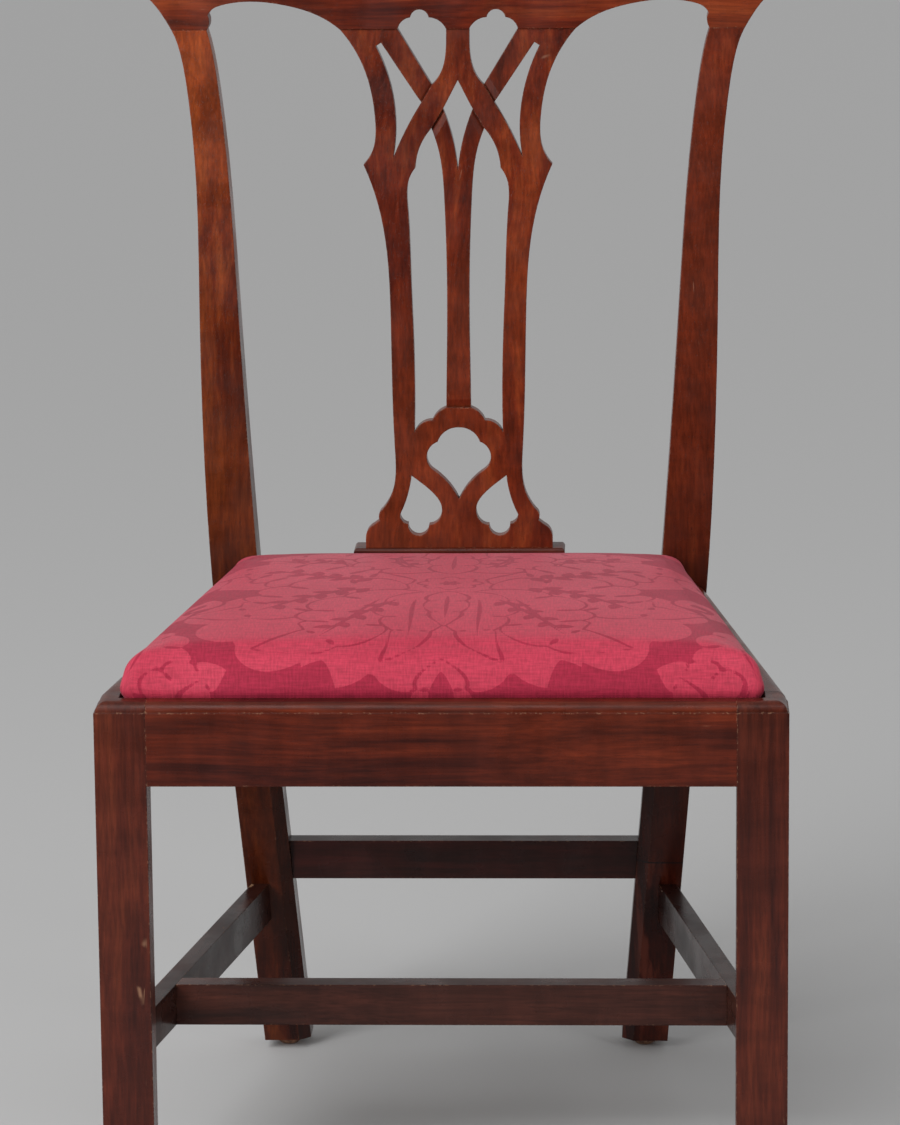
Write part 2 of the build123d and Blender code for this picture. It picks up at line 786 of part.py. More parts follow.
with BuildPart() as splat:
    with BuildSketch(Plane.XZ):
        knee, ankle, heel = drop(80, 112.5), rise(65.5, 32.5), rise(67.5, 23.5)
        with BuildLine():
            Polyline((0, crest_joint), (0, shoe_top), (splat_base_half, shoe_top), rise(splat_base_half, 8.5))
            ThreePointArc(rise(splat_base_half, 8.5), rise(77.5, 15.5), rise(73, 19.5))
            Line(rise(73, 19.5), heel)
            ThreePointArc(heel, rise(68.2, 28.5), ankle)
            Spline(ankle, rise(56.5, 48), rise(54.4, 85), drop(57.4, 240), drop(63.2, 166), knee)
            Spline(knee, drop(71.2, 97), drop(70.2, 74), drop(78.5, 35), (splat_top_half, crest_joint))
            Line((splat_top_half, crest_joint), (0, crest_joint))
        make_face()
        lobed_opening()
        strap_slot()
        diamond()
        tall_slot()
        ring_opening()
        foot_opening()
        mirror(about=Plane.YZ)
    extrude(amount=far, both=True)
    add(splat_slab, mode=Mode.INTERSECT)
    add([crossing_relief, left(crossing_relief), stem_relief], mode=Mode.SUBTRACT)
    add([strap_tenon, left(strap_tenon), stem_tenon, shoe_tenon])

with BuildPart() as crest_rail:
    with BuildSketch(Plane.XZ):
        ear_tip, ear_top = drop(281, -47), drop(276, -55.5)
        with BuildLine():
            Polyline(
                (0, crest_top),
                (0, crest_joint),
                (splat_top_half, crest_joint),
            )
            Spline(
                (splat_top_half, crest_joint),
                drop(122, -13.2),
                drop(148, -20.6),
                drop(178, -23.6),
                drop(201, -20.6),
                drop(212.4, -12.4),
                tangents=((1, 0.85), (0.5, -1)),
            )
            ThreePointArc(
                drop(212.4, -12.4), drop(211, -6.5), (post_top_inner, crest_joint)
            )
            Line((post_top_inner, crest_joint), (post_top_outer, crest_joint))
            Spline(
                (post_top_outer, crest_joint),
                drop(260, -24),
                ear_tip,
                tangents=((1, 1.7), (0.5, 1)),
            )
            ThreePointArc(ear_tip, drop(280.6, -52.5), ear_top)
            Spline(
                ear_top,
                drop(243, -47),
                drop(196, -41.5),
                drop(120, -53),
                (0, crest_top),
                tangents=((-1, 0), (-1, 0)),
            )
        make_face()
        lobed_opening()
        mirror(about=Plane.YZ)
    extrude(amount=far, both=True)
    add(crest_slab, mode=Mode.INTERSECT)
    add(
        [post_mortise, left(post_mortise), strap_mortise, left(strap_mortise), stem_mortise],
        mode=Mode.SUBTRACT,
    )

# Shoe under the splat: coved front and ends below a rounded nosing
shoe_y = post_y - shoe_reach
shoe_half = splat_base_half + shoe_margin


def shoe_edge(face):
    """Draw the moulded edge from the shoe's foot to its top, outside a face at the given place."""
    nosing_bottom = shoe_top - shoe_nosing
    foot_top = seat_height + shoe_plinth
    Polyline((face + shoe_flare, seat_height), (face + shoe_flare, foot_top))
    RadiusArc((face + shoe_flare, foot_top), (face, nosing_bottom), -(nosing_bottom - foot_top))
    ThreePointArc(
        (face, nosing_bottom),
        (face + shoe_nosing_bulge, shoe_top - shoe_nosing / 2),
        (face, shoe_top),
    )


with BuildPart() as shoe:
    with BuildSketch(Plane.XZ):
        with BuildLine():
            shoe_edge(shoe_half)
            Polyline(
                (shoe_half, shoe_top),
                (0, shoe_top),
                (0, seat_height),
                (shoe_half + shoe_flare, seat_height),
            )
        make_face()
        mirror(about=Plane.YZ)
    extrude(amount=far, both=True)
    with BuildSketch(Plane((0, shoe_y + shoe_flare, 0), x_dir=(0, -1, 0), z_dir=(-1, 0, 0))):
        with BuildLine():
            shoe_edge(0)
            Polyline(
                (0, shoe_top),
                (shoe_flare - shoe_depth, shoe_top),
                (shoe_flare - shoe_depth, seat_height),
                (shoe_flare, seat_height),
            )
        make_face()
    extrude(amount=far, both=True, mode=Mode.INTERSECT)
    add(shoe_mortise, mode=Mode.SUBTRACT)


# Glides: domed nails under the feet
def glide(centre):
    with BuildPart() as nail:
        with BuildSketch(Plane((*centre, 0), x_dir=(1, 0, 0), z_dir=(0, -1, 0))):
            with BuildLine():
                Polyline((0, 0), (glide_flat_radius, 0))
                SagittaArc(
                    (glide_flat_radius, 0), (glide_radius, glide_height - glide_rim), -glide_bulge
                )
                Polyline(
                    (glide_radius, glide_height - glide_rim),
                    (glide_radius, glide_height),
                    (glide_shank_radius, glide_height),
                    (glide_shank_radius, glide_height + glide_shank_length),
                    (0, glide_height + glide_shank_length),
                    (0, 0),
                )
            make_face()
        revolve(axis=Axis((*centre, 0), (0, 0, 1)))
    return nail.part


# Drop-in seat
seat_front_y = front_y + lip_width + seat_side_gap
seat_rear_y = post_y - seat_rear_gap
seat_front_half = leg_outer - lip_width - seat_side_gap
seat_rear_half = side_rail_x(seat_rear_y, lip_width + seat_side_gap)
seat_middle_y = (seat_front_y + seat_rear_y) / 2
hem_bottom = ledge + seat_clearance
seat_frame_bottom = hem_bottom + cover_thickness
seat_frame_top = seat_frame_bottom + seat_frame_thickness
base_cloth_bottom = seat_frame_top + 2 * webbing_thickness
pad_bottom = base_cloth_bottom + base_cloth_thickness
frame_inset = cushion_draw_in + cover_thickness + cover_gap
seat_slope = (seat_front_half - seat_rear_half) / (seat_rear_y - seat_front_y)


def seat_side_x(y, inset=0.0):
    """A line along the seat's right side, moved inwards by an inset."""
    return seat_front_half - seat_slope * (y - seat_front_y) - inset * sqrt(1 + seat_slope**2)


def seat_plan(inset):
    """Rounded plan of the seat, moved inwards by an inset."""
    near, away = seat_front_y + inset, seat_rear_y - inset
    with BuildSketch() as plan:
        with BuildLine():
            Polyline(
                (-seat_side_x(near, inset), near),
                (seat_side_x(near, inset), near),
                (seat_side_x(away, inset), away),
                (-seat_side_x(away, inset), away),
                close=True,
            )
        make_face()
        fillet(plan.vertices(), seat_corner_radius)
    return plan.sketch


def cushion_form(inset, bottom):
    """Crowned seat form: drawn in round the frame, rounded at the edge and domed on top."""
    drawn_in = inset + cushion_draw_in
    sections = [(drawn_in, bottom), (drawn_in, seat_frame_top)]
    for angle in (0, 30, 60, 90):
        across = cushion_shoulder_inset * (1 - cos(radians(angle)))
        sections.append((inset + across, cushion_edge + cushion_shoulder * sin(radians(angle)) - inset))
    edge_inset, edge_top = sections[-1]
    for share in (0.35, 0.7, 1):
        up = cushion_crown * (1 - (1 - share) ** 2)
        sections.append((edge_inset + share * cushion_crown_inset, edge_top + up))
    with BuildPart() as form:
        for section_inset, z in sections:
            with BuildSketch(Plane.XY.offset(z)):
                add(seat_plan(section_inset))
        loft(ruled=True)
    return form.part


cover_outside = cushion_form(0, hem_bottom)
cover_inside = cushion_form(cover_thickness, seat_frame_bottom)
pad_form = cushion_form(cover_thickness + cover_gap, seat_frame_bottom)

# Tack places: under the hem and on the ends of the webbing straps
hem_tack_inset = hem_width - hem_tack_edge
lap_front_y = seat_front_y + frame_inset + seat_frame_width
lap_rear_y = seat_rear_y - frame_inset - seat_frame_width
hem_tacks = [(share * seat_front_half, seat_front_y + hem_tack_inset) for share in front_tack_shares]
hem_tacks += [(share * seat_rear_half, seat_rear_y - hem_tack_inset) for share in rear_tack_shares]
for share in side_tack_shares:
    y = lap_front_y + share * (lap_rear_y - lap_front_y)
    hem_tacks += [(sign * seat_side_x(y, hem_tack_inset), y) for sign in (-1, 1)]

webbing_places = [(n - (webbing_count - 1) / 2) * webbing_pitch for n in range(webbing_count)]
strap_front_y = seat_front_y + frame_inset + webbing_end_margin
strap_rear_y = seat_rear_y - frame_inset - webbing_end_margin
webbing_tack_spread = webbing_width / 4
webbing_tacks = []
for place in webbing_places:
    for offset in (-webbing_tack_spread, webbing_tack_spread):
        webbing_tacks.append((place + offset, strap_front_y + webbing_end_margin))
        webbing_tacks.append((place + offset, strap_rear_y - webbing_end_margin))
        y = seat_middle_y + place + offset
        reach = seat_side_x(y, frame_inset + 2 * webbing_end_margin)
        webbing_tacks += [(-reach, y), (reach, y)]


def tacks(places, seat, up):
    """Hand-forged tacks with square shanks, their heads seated at one height."""
    with BuildPart() as group:
        for x, y in places:
            facing = Plane((x, y, seat), x_dir=(1, 0, 0), z_dir=(0, 0, 1 if up else -1))
            with BuildSketch(facing):
                Rectangle(tack_head, tack_head)
            extrude(amount=tack_head_height, taper=tack_head_taper)
            with BuildSketch(facing):
                Rectangle(tack_shank, tack_shank)
            extrude(amount=-tack_length, taper=tack_shank_taper)
    return group.part


def tack_holes(places, low, high):
    """Square holes for tack shanks through whatever the current part has between two heights."""
    with BuildSketch(Plane.XY.offset(low)) as holes:
        with Locations(places):
            Rectangle(tack_shank + 2 * tack_hole_clearance, tack_shank + 2 * tack_hole_clearance)
    extrude(holes.sketch, amount=high - low, mode=Mode.SUBTRACT)


webbing_tack_seat = seat_frame_top + webbing_thickness
hem_hole_top = hem_bottom + tack_length + seat_clearance
webbing_hole_bottom = webbing_tack_seat - tack_length - seat_clearance


def seat_frame_rail(keep, laps, lap_low):
    """One rail of the seat's inner frame: a strip of the seat's plan, halved where rails lap."""
    with BuildPart() as rail:
        with BuildSketch(Plane.XY.offset(seat_frame_bottom)):
            add(seat_plan(frame_inset))
            add(keep, mode=Mode.INTERSECT)
        extrude(amount=seat_frame_thickness)
        with BuildSketch(Plane.XY.offset(lap_low)):
            add(laps)
        extrude(amount=seat_frame_thickness / 2, mode=Mode.SUBTRACT)
        tack_holes(hem_tacks, hem_bottom, hem_hole_top)
        tack_holes(webbing_tacks, webbing_hole_bottom, webbing_tack_seat)
    return rail.part


with BuildSketch() as front_strip:
    with Locations((0, lap_front_y - far / 2)):
        Rectangle(far, far)
with BuildSketch() as rear_strip:
    with Locations((0, lap_rear_y + far / 2)):
        Rectangle(far, far)
with BuildSketch() as right_strip:
    inner_front = seat_side_x(seat_front_y, frame_inset + seat_frame_width)
    inner_rear = seat_side_x(seat_rear_y, frame_inset + seat_frame_width)
    with BuildLine():
        Polyline(
            (inner_front, seat_front_y),
            (far, seat_front_y),
            (far, seat_rear_y),
            (inner_rear, seat_rear_y),
            close=True,
        )
    make_face()
side_strips = [right_strip.sketch, left(right_strip.sketch)]
cross_strips = [front_strip.sketch, rear_strip.sketch]
lap_middle = seat_frame_bottom + seat_frame_thickness / 2
seat_frame_front = seat_frame_rail(front_strip.sketch, side_strips, seat_frame_bottom)
seat_frame_rear = seat_frame_rail(rear_strip.sketch, side_strips, seat_frame_bottom)
seat_frame_right = seat_frame_rail(right_strip.sketch, cross_strips, lap_middle)

with BuildPart() as webbing_lengthwise:
    for place in webbing_places:
        block(
            (place - webbing_width / 2, strap_front_y, seat_frame_top),
            (place + webbing_width / 2, strap_rear_y, seat_frame_top + webbing_thickness),
        )
    tack_holes(webbing_tacks, seat_frame_top, webbing_tack_seat)

# The crosswise straps lie on the frame at their ends and climb over the lengthwise ones
with BuildPart() as webbing_crosswise:
    for place in webbing_places:
        y = seat_middle_y + place
        end = seat_side_x(y + webbing_width / 2, frame_inset + webbing_end_margin)
        over = webbing_places[-1] + webbing_width / 2 + webbing_thickness
        with BuildSketch(Plane.XZ.offset(-y)):
            with BuildLine():
                Polyline(
                    (0, webbing_tack_seat),
                    (over, webbing_tack_seat),
                    (over + webbing_climb, seat_frame_top),
                    (end, seat_frame_top),
                    (end, webbing_tack_seat),
                    (over + webbing_climb, webbing_tack_seat),
                    (over, webbing_tack_seat + webbing_thickness),
                    (0, webbing_tack_seat + webbing_thickness),
                    close=True,
                )
            make_face()
            mirror(about=Plane.YZ)
        extrude(amount=webbing_width / 2, both=True)
    tack_holes(webbing_tacks, seat_frame_top, webbing_tack_seat)

with BuildPart() as base_cloth:
    with BuildSketch(Plane.XY.offset(base_cloth_bottom)):
        add(seat_plan(frame_inset + base_cloth_margin))
    extrude(amount=base_cloth_thickness)

with BuildPart() as stuffing_pad:
    add(pad_form)
    block((-far, -far, 0), (far, far, pad_bottom), mode=Mode.SUBTRACT)

with BuildPart() as seat_cover:
    add(cover_outside)
    add(cover_inside, mode=Mode.SUBTRACT)
    with BuildSketch(Plane.XY.offset(hem_bottom)):
        add(seat_plan(hem_width))
    extrude(amount=cover_thickness, mode=Mode.SUBTRACT)
    tack_holes(hem_tacks, hem_bottom, seat_frame_bottom)

# Every piece under the name of its file
pieces = {
    "crest_rail": crest_rail.part,
    "rear_post_right": rear_post_right.part,
    "rear_post_left": left(rear_post_right.part),
    "splat": splat.part,
    "shoe": shoe.part,
    "front_leg_right": front_leg_right.part,
    "front_leg_left": left(front_leg_right.part),
    "front_seat_rail": front_seat_rail.part,
    "rear_seat_rail": rear_seat_rail.part,
    "side_seat_rail_right": side_seat_rail_right.part,
    "side_seat_rail_left": left(side_seat_rail_right.part),
    "side_stretcher_right": side_stretcher_right.part,
    "side_stretcher_left": left(side_stretcher_right.part),
    "medial_stretcher": medial_stretcher.part,
    "rear_stretcher": rear_stretcher.part,
    "corner_block_front_right": corner_block_front_right.part,
    "corner_block_front_left": left(corner_block_front_right.part),
    "corner_block_rear_right": corner_block_rear_right.part,
    "corner_block_rear_left": left(corner_block_rear_right.part),
    "glide_front_right": glide(leg_centre),
    "glide_front_left": left(glide(leg_centre)),
    "glide_rear_right": glide(foot_centre),
    "glide_rear_left": left(glide(foot_centre)),
    "seat_frame_front": seat_frame_front,
    "seat_frame_rear": seat_frame_rear,
    "seat_frame_right": seat_frame_right,
    "seat_frame_left": left(seat_frame_right),
    "webbing_lengthwise": webbing_lengthwise.part,
    "webbing_crosswise": webbing_crosswise.part,
    "webbing_tacks": tacks(webbing_tacks, webbing_tack_seat, True),
    "base_cloth": base_cloth.part,
    "stuffing_pad": stuffing_pad.part,
    "seat_cover": seat_cover.part,
    "cover_tacks": tacks(hem_tacks, hem_bottom, False),
}

os.makedirs("parts", exist_ok=True)
for name, piece in pieces.items():
    piece.label = name
    export_step(piece, f"parts/{name}.step")
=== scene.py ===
from math import cos, pi, radians, sin, sqrt, tau

import bpy
import numpy as np
from mathutils import Matrix, Vector


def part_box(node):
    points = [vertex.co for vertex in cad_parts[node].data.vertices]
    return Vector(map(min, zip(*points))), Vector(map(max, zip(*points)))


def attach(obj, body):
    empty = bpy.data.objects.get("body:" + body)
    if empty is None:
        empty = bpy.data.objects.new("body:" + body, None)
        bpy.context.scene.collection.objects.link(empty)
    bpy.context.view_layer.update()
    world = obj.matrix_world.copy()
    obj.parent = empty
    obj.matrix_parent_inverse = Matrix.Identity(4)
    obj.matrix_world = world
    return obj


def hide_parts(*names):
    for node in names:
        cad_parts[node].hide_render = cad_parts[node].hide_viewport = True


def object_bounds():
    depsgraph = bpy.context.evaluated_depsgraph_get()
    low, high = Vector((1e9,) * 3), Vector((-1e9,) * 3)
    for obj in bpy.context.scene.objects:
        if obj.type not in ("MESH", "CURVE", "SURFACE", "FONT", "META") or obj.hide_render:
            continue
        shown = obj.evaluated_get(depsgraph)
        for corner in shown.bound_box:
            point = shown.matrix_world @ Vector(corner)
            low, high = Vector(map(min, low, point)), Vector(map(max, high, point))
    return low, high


# A mahogany side chair with a pierced splat and a damask drop-in seat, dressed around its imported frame.
# Metres, +Z up, the chair faces -Y.

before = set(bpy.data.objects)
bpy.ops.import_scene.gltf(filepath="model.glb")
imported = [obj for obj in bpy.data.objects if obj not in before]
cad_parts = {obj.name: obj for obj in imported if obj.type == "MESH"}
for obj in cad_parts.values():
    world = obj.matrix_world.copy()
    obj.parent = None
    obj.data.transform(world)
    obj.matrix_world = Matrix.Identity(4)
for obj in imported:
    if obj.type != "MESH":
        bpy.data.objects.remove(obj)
cad_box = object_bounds()
cad_low = cad_box[0]
scene = bpy.context.scene
scene.view_settings.view_transform = "Standard"

# Camera, from the photograph's perspective
camera_place = (0.150, cad_low.y - 3.7002, 1.3139)
camera_down = radians(11.8)
camera_turn = radians(2.19)  # to the viewer's left
camera_roll = radians(0.54)
focal_share = 4960.2 / 1125  # focal length over the picture's height
sensor_height = 36.0  # mm

# Light and surroundings
backdrop_grey = 0.53
backdrop_far_grey = 0.55  # where the lamps no longer reach
backdrop_drift = (0.5, 9.0)  # the stretch of Y in which the grey drifts from one to the other
studio_floor_grey = 0.05  # in front of the paper, behind the camera's view
paper_front_y = cad_low.y - 1.3
paper_fade = 0.3
floor_half = 40.0
world_light = 0.40
world_front_share = 0.2  # of the world's light that comes from low in front
key_strength = 1.0
key_softness = radians(40)
key_direction = Vector((-0.35, -0.5, 0.85))  # towards the light
lit_middle = Vector((0, 0, 0.5))
softboxes = {  # place, watts, width and height
    "left_softbox": ((-2.2, -2.5, 1.7), 75, 1.6, 1.6),
    "right_softbox": ((2.2, -1.7, 1.3), 12, 0.8, 1.6),
}

# Drop-in seat, as in the frame
seat_corner_radius = 0.008
hem_width = 0.024
cover_thickness = 0.0012
cushion_shoulder = 0.019
cushion_shoulder_inset = 0.020
cushion_crown = 0.010
cushion_draw_in = 0.001

# Cloth of the cushion
cells_across = 140
cells_deep = 116
start_share = 0.85  # how much of the crown stands before the cushion is filled
rear_drop = 0.005  # how much lower the stuffing is along the back
side_bulge = 0.0022  # how far the sides swell out over the lip
tuck_height = 0.0015  # of the bulge's lower edge over the lip
lip_margin = 0.001  # the cloth turns in this far below the lip's top, and is held up to this far above it
corner_steps = 8
fill_pressure = 3.0
fill_frames = 20
swell_cap = 0.0035
swell_smoothing = 12  # rounds of averaging with the neighbouring points
rear_play = 0.0008  # how far the cushion may swell towards the posts
pleat_depth = 0.0011
pleat_reach = 0.040  # along each side from a corner
pleats_per_corner = 5
pleat_hub = 0.93  # where the pleats fan out from, as a share of the way to the corner
pleat_foot = 0.003  # left plain above the seat's underside
pleat_lean = 0.7  # share of a pleat's depth along each axis
motif_setback = 0.005  # of the medallion's middle behind the seat's

# Webbing and base cloth under the stuffing
webbing_width = 0.050
webbing_thickness = 0.0015
webbing_pitch = 0.092
webbing_count = 3
webbing_sag = 0.0025
webbing_free = 0.8  # share of the seat over which the webbing hangs free
strap_end_inset = 0.020
strap_climb = 0.008  # length over which a strap climbs over another
strap_steps = 90
strap_columns = 9


# Shader nodes
def new_material(name):
    material = bpy.data.materials.new(name)
    material.use_nodes = True
    tree = material.node_tree
    return material, tree, tree.nodes["Principled BSDF"]


def node(tree, kind, values=None, **settings):
    """A shader node with its settings, and each input set to a value or linked to a socket."""
    made = tree.nodes.new("ShaderNode" + kind)
    for name, value in settings.items():
        setattr(made, name, value)
    for name, value in (values or {}).items():
        if isinstance(value, bpy.types.NodeSocket):
            tree.links.new(value, made.inputs[name])
        else:
            made.inputs[name].default_value = value
    return made


def maths(tree, operation, a, b=0.0):
    return node(tree, "Math", {0: a, 1: b}, operation=operation).outputs[0]


def times(tree, a, b):
    return maths(tree, "MULTIPLY", a, b)


def noise(tree, place, scale, detail=3.0, roughness=0.55):
    values = {"Vector": place, "Scale": scale, "Detail": detail, "Roughness": roughness}
    return node(tree, "TexNoise", values).outputs["Fac"]


def between(tree, value, low, high, to_low=0.0, to_high=1.0):
    """The value's smooth rise from one end of a range to the other."""
    values = {"Value": value, "From Min": low, "From Max": high, "To Min": to_low, "To Max": to_high}
    return node(tree, "MapRange", values, interpolation_type="SMOOTHSTEP").outputs["Result"]


def mix(tree, share, a, b, blend="MIX"):
    made = node(tree, "Mix", {0: share}, data_type="RGBA", blend_type=blend)
    for socket, value in ((made.inputs[6], a), (made.inputs[7], b)):
        if isinstance(value, bpy.types.NodeSocket):
            tree.links.new(value, socket)
        else:
            socket.default_value = (*value, 1)
    return made.outputs[2]


def grey(tree, level):
    return node(tree, "CombineColor", {0: level, 1: level, 2: level}).outputs[0]


def ramp(tree, value, stops):
    """A colour ramp through pairs of place and colour."""
    made = node(tree, "ValToRGB", {"Fac": value})
    elements = made.color_ramp.elements
    for element, (place, colour) in zip(elements, stops):
        element.position = place
        element.color = (*colour, 1)
    for place, colour in stops[2:]:
        elements.new(place).color = (*colour, 1)
    return made.outputs["Color"]


def axis_scale(axis, along, across=1.0):
    """Scale of a texture along one axis and across it."""
    return [along if name == axis else across for name in "XYZ"]


def stretched(tree, scale, turn=0.0, offset=(0, 0, 0)):
    """Object coordinates turned about Z, then scaled along each axis."""
    place = node(tree, "TexCoord").outputs["Object"]
    turned = node(tree, "Mapping", {"Vector": place, "Rotation": (0, 0, turn), "Location": offset})
    return node(tree, "Mapping", {"Vector": turned.outputs[0], "Scale": scale}).outputs[0]


def edge_mask(tree, radius):
    """One on an outer edge of the solid, falling to nothing a radius away."""
    rounded = node(tree, "Bevel", {"Radius": radius}, samples=4).outputs["Normal"]
    flat = node(tree, "NewGeometry").outputs["Normal"]
    across = node(tree, "VectorMath", {0: rounded, 1: flat}, operation="DOT_PRODUCT").outputs["Value"]
    return between(tree, maths(tree, "SUBTRACT", 1.0, across), 0.01, 0.18)


# Woods
def mended(tree, colour, height_above, mend_height, streaks):
    """A dark seam across a leg, and the redder stain of the mend below it."""
    below = between(tree, height_above, mend_height - 0.07, mend_height, 1.0, 0.7)
    below = times(tree, below, maths(tree, "LESS_THAN", height_above, mend_height))
    stain = times(tree, below, between(tree, streaks, 0.5, 0.62))
    colour = mix(tree, times(tree, stain, 0.7), colour, (0.11, 0.022, 0.012))
    seam = maths(tree, "ABSOLUTE", maths(tree, "SUBTRACT", height_above, mend_height))
    return mix(tree, between(tree, seam, 0.0003, 0.0011, 0.85, 0.0), colour, (0.006, 0.003, 0.003))


def chipped(tree, colour, plain, place, size):
    """Bare wood round a place, with a ragged edge."""
    away = {0: node(tree, "TexCoord").outputs["Object"], 1: place}
    far = node(tree, "VectorMath", away, operation="DISTANCE").outputs["Value"]
    far = maths(tree, "ADD", far, times(tree, noise(tree, plain, 130.0), 0.6 * size))
    bare = between(tree, far, 0.9 * size, 1.1 * size, 1.0, 0.0)
    return mix(tree, bare, colour, (0.33, 0.19, 0.11))


def mahogany(name, along, tones, turn=0.0, offset=(0, 0, 0), painted_shade_below=None, mend_height=None, chip=None):
    """Old polished mahogany: grain along one axis, dark pores, a cross figure, dark blotches, worn edges,
    painted shade in hollows and where parts meet, and, where given, painted shade below a height.
    """
    material, tree, shader = new_material(name)
    light, mid, dark = tones
    grain = stretched(tree, axis_scale(along, 0.07), turn, offset)
    figure = stretched(tree, axis_scale(along, 1.8, 0.6), turn, offset)
    plain = stretched(tree, (1, 1, 1), 0.0, offset)

    bend = node(tree, "TexNoise", {"Vector": plain, "Scale": 5.0, "Detail": 1.0}).outputs["Color"]
    bent = node(tree, "VectorMath", {0: bend, "Scale": 0.016}, operation="SCALE").outputs[0]
    wavy = node(tree, "VectorMath", {0: grain, 1: bent}).outputs[0]
    streaks = noise(tree, wavy, 75.0, 5.0, 0.65)
    bands = noise(tree, wavy, 20.0, 2.0)
    tone = maths(tree, "ADD", times(tree, streaks, 0.6), times(tree, bands, 0.4))
    colour = ramp(tree, tone, [(0.39, dark), (0.64, light), (0.51, mid)])
    drift = between(tree, noise(tree, plain, 3.2, 1.0), 0.42, 0.68)
    colour = mix(tree, times(tree, drift, 0.4), colour, light)

    ripple = between(tree, noise(tree, figure, 30.0, 3.0), 0.3, 0.72, 0.80, 1.18)
    colour = mix(tree, 0.8, colour, grey(tree, ripple), "MULTIPLY")
    fibres = between(tree, noise(tree, wavy, 420.0, 2.0), 0.3, 0.7, 0.81, 1.17)
    colour = mix(tree, 1.0, colour, grey(tree, fibres), "MULTIPLY")
    pores = between(tree, noise(tree, grain, 1500.0, 2.0), 0.60, 0.72)
    colour = mix(tree, times(tree, pores, 0.5), colour, dark)
    blotch = between(tree, noise(tree, plain, 9.0, 3.0), 0.52, 0.74)
    colour = mix(tree, times(tree, blotch, 0.4), colour, dark)
    height_above = node(tree, "SeparateXYZ", {0: node(tree, "TexCoord").outputs["Object"]}).outputs["Z"]
    # Painted shade: the colour darkens below a given height, standing in for the shadow under the seat
    if painted_shade_below:
        low, high, darkest = painted_shade_below
        shade = between(tree, height_above, low, high, darkest, 1.0)
        colour = mix(tree, 1.0, colour, grey(tree, shade), "MULTIPLY")

    # Painted shade: the colour darkens in hollows and where parts meet, by ambient occlusion
    hollow_shade = node(tree, "AmbientOcclusion", {"Distance": 0.008}, samples=4).outputs["AO"]
    colour = mix(tree, between(tree, hollow_shade, 0.25, 0.75, 0.55, 0.0), colour, (0.016, 0.006, 0.004))

    edge = edge_mask(tree, 0.0018)
    rubbed = times(tree, edge, between(tree, noise(tree, plain, 40.0, 3.0), 0.4, 0.7))
    colour = mix(tree, times(tree, rubbed, 0.45), colour, light)
    chips = times(tree, edge, between(tree, noise(tree, plain, 380.0, 2.0), 0.57, 0.62))
    scratch_places = node(tree, "TexVoronoi", {"Vector": wavy, "Scale": 24.0}, feature="DISTANCE_TO_EDGE")
    thin = between(tree, scratch_places.outputs["Distance"], 0.0, 0.010, 1.0, 0.0)
    scratched = between(tree, noise(tree, plain, 31.0, 2.0), 0.66, 0.74)
    marks = maths(tree, "MAXIMUM", chips, times(tree, thin, scratched))
    colour = mix(tree, times(tree, marks, 0.6), colour, (0.36, 0.19, 0.11))
    if mend_height:
        colour = mended(tree, colour, height_above, mend_height, streaks)
    if chip:
        colour = chipped(tree, colour, plain, *chip)
    tree.links.new(colour, shader.inputs["Base Color"])

    rough = between(tree, noise(tree, plain, 22.0, 4.0), 0.3, 0.7, 0.21, 0.38)
    tree.links.new(maths(tree, "ADD", rough, times(tree, marks, 0.2)), shader.inputs["Roughness"])
    shader.inputs["Specular IOR Level"].default_value = 0.24
    shader.inputs["Coat Weight"].default_value = 0.06
    shader.inputs["Coat Roughness"].default_value = 0.14
    hand_planed = noise(tree, plain, 14.0, 1.0)
    height = times(tree, hand_planed, 0.8)
    for hollow, depth in ((pores, 0.1), (marks, 0.25)):
        height = maths(tree, "SUBTRACT", height, times(tree, hollow, depth))
    rounded = node(tree, "Bevel", {"Radius": 0.0012}, samples=4).outputs["Normal"]
    bump = node(tree, "Bump", {"Strength": 0.5, "Distance": 0.0006, "Height": height, "Normal": rounded})
    tree.links.new(bump.outputs[0], shader.inputs["Normal"])
    return material


def pine(name, along, offset=(0, 0, 0)):
    """Unfinished pine, brown with age, with late-wood lines and saw marks across the grain."""
    material, tree, shader = new_material(name)
    grain = stretched(tree, axis_scale(along, 0.05), 0.0, offset)
    plain = stretched(tree, (1, 1, 1), 0.0, offset)
    lines = noise(tree, grain, 130.0, 4.0)
    stops = [(0.32, (0.20, 0.105, 0.05)), (0.7, (0.44, 0.28, 0.15)), (0.5, (0.36, 0.21, 0.105))]
    colour = ramp(tree, lines, stops)
    stain = between(tree, noise(tree, plain, 11.0, 4.0), 0.45, 0.75)
    colour = mix(tree, times(tree, stain, 0.6), colour, (0.13, 0.075, 0.04))
    # Painted shade: the colour darkens in hollows and where parts meet, by ambient occlusion
    hollow_shade = node(tree, "AmbientOcclusion", {"Distance": 0.02}, samples=4).outputs["AO"]
    colour = mix(tree, between(tree, hollow_shade, 0.2, 0.8, 0.6, 0.0), colour, (0.05, 0.03, 0.02))
    tree.links.new(colour, shader.inputs["Base Color"])
    shader.inputs["Roughness"].default_value = 0.78
    saw = noise(tree, stretched(tree, (240, 240, 240), 0.6, offset), 1.0, 1.0)
    height = maths(tree, "ADD", lines, times(tree, saw, 0.4))
    bump = node(tree, "Bump", {"Strength": 0.5, "Distance": 0.0005, "Height": height})
    tree.links.new(bump.outputs[0], shader.inputs["Normal"])
    return material


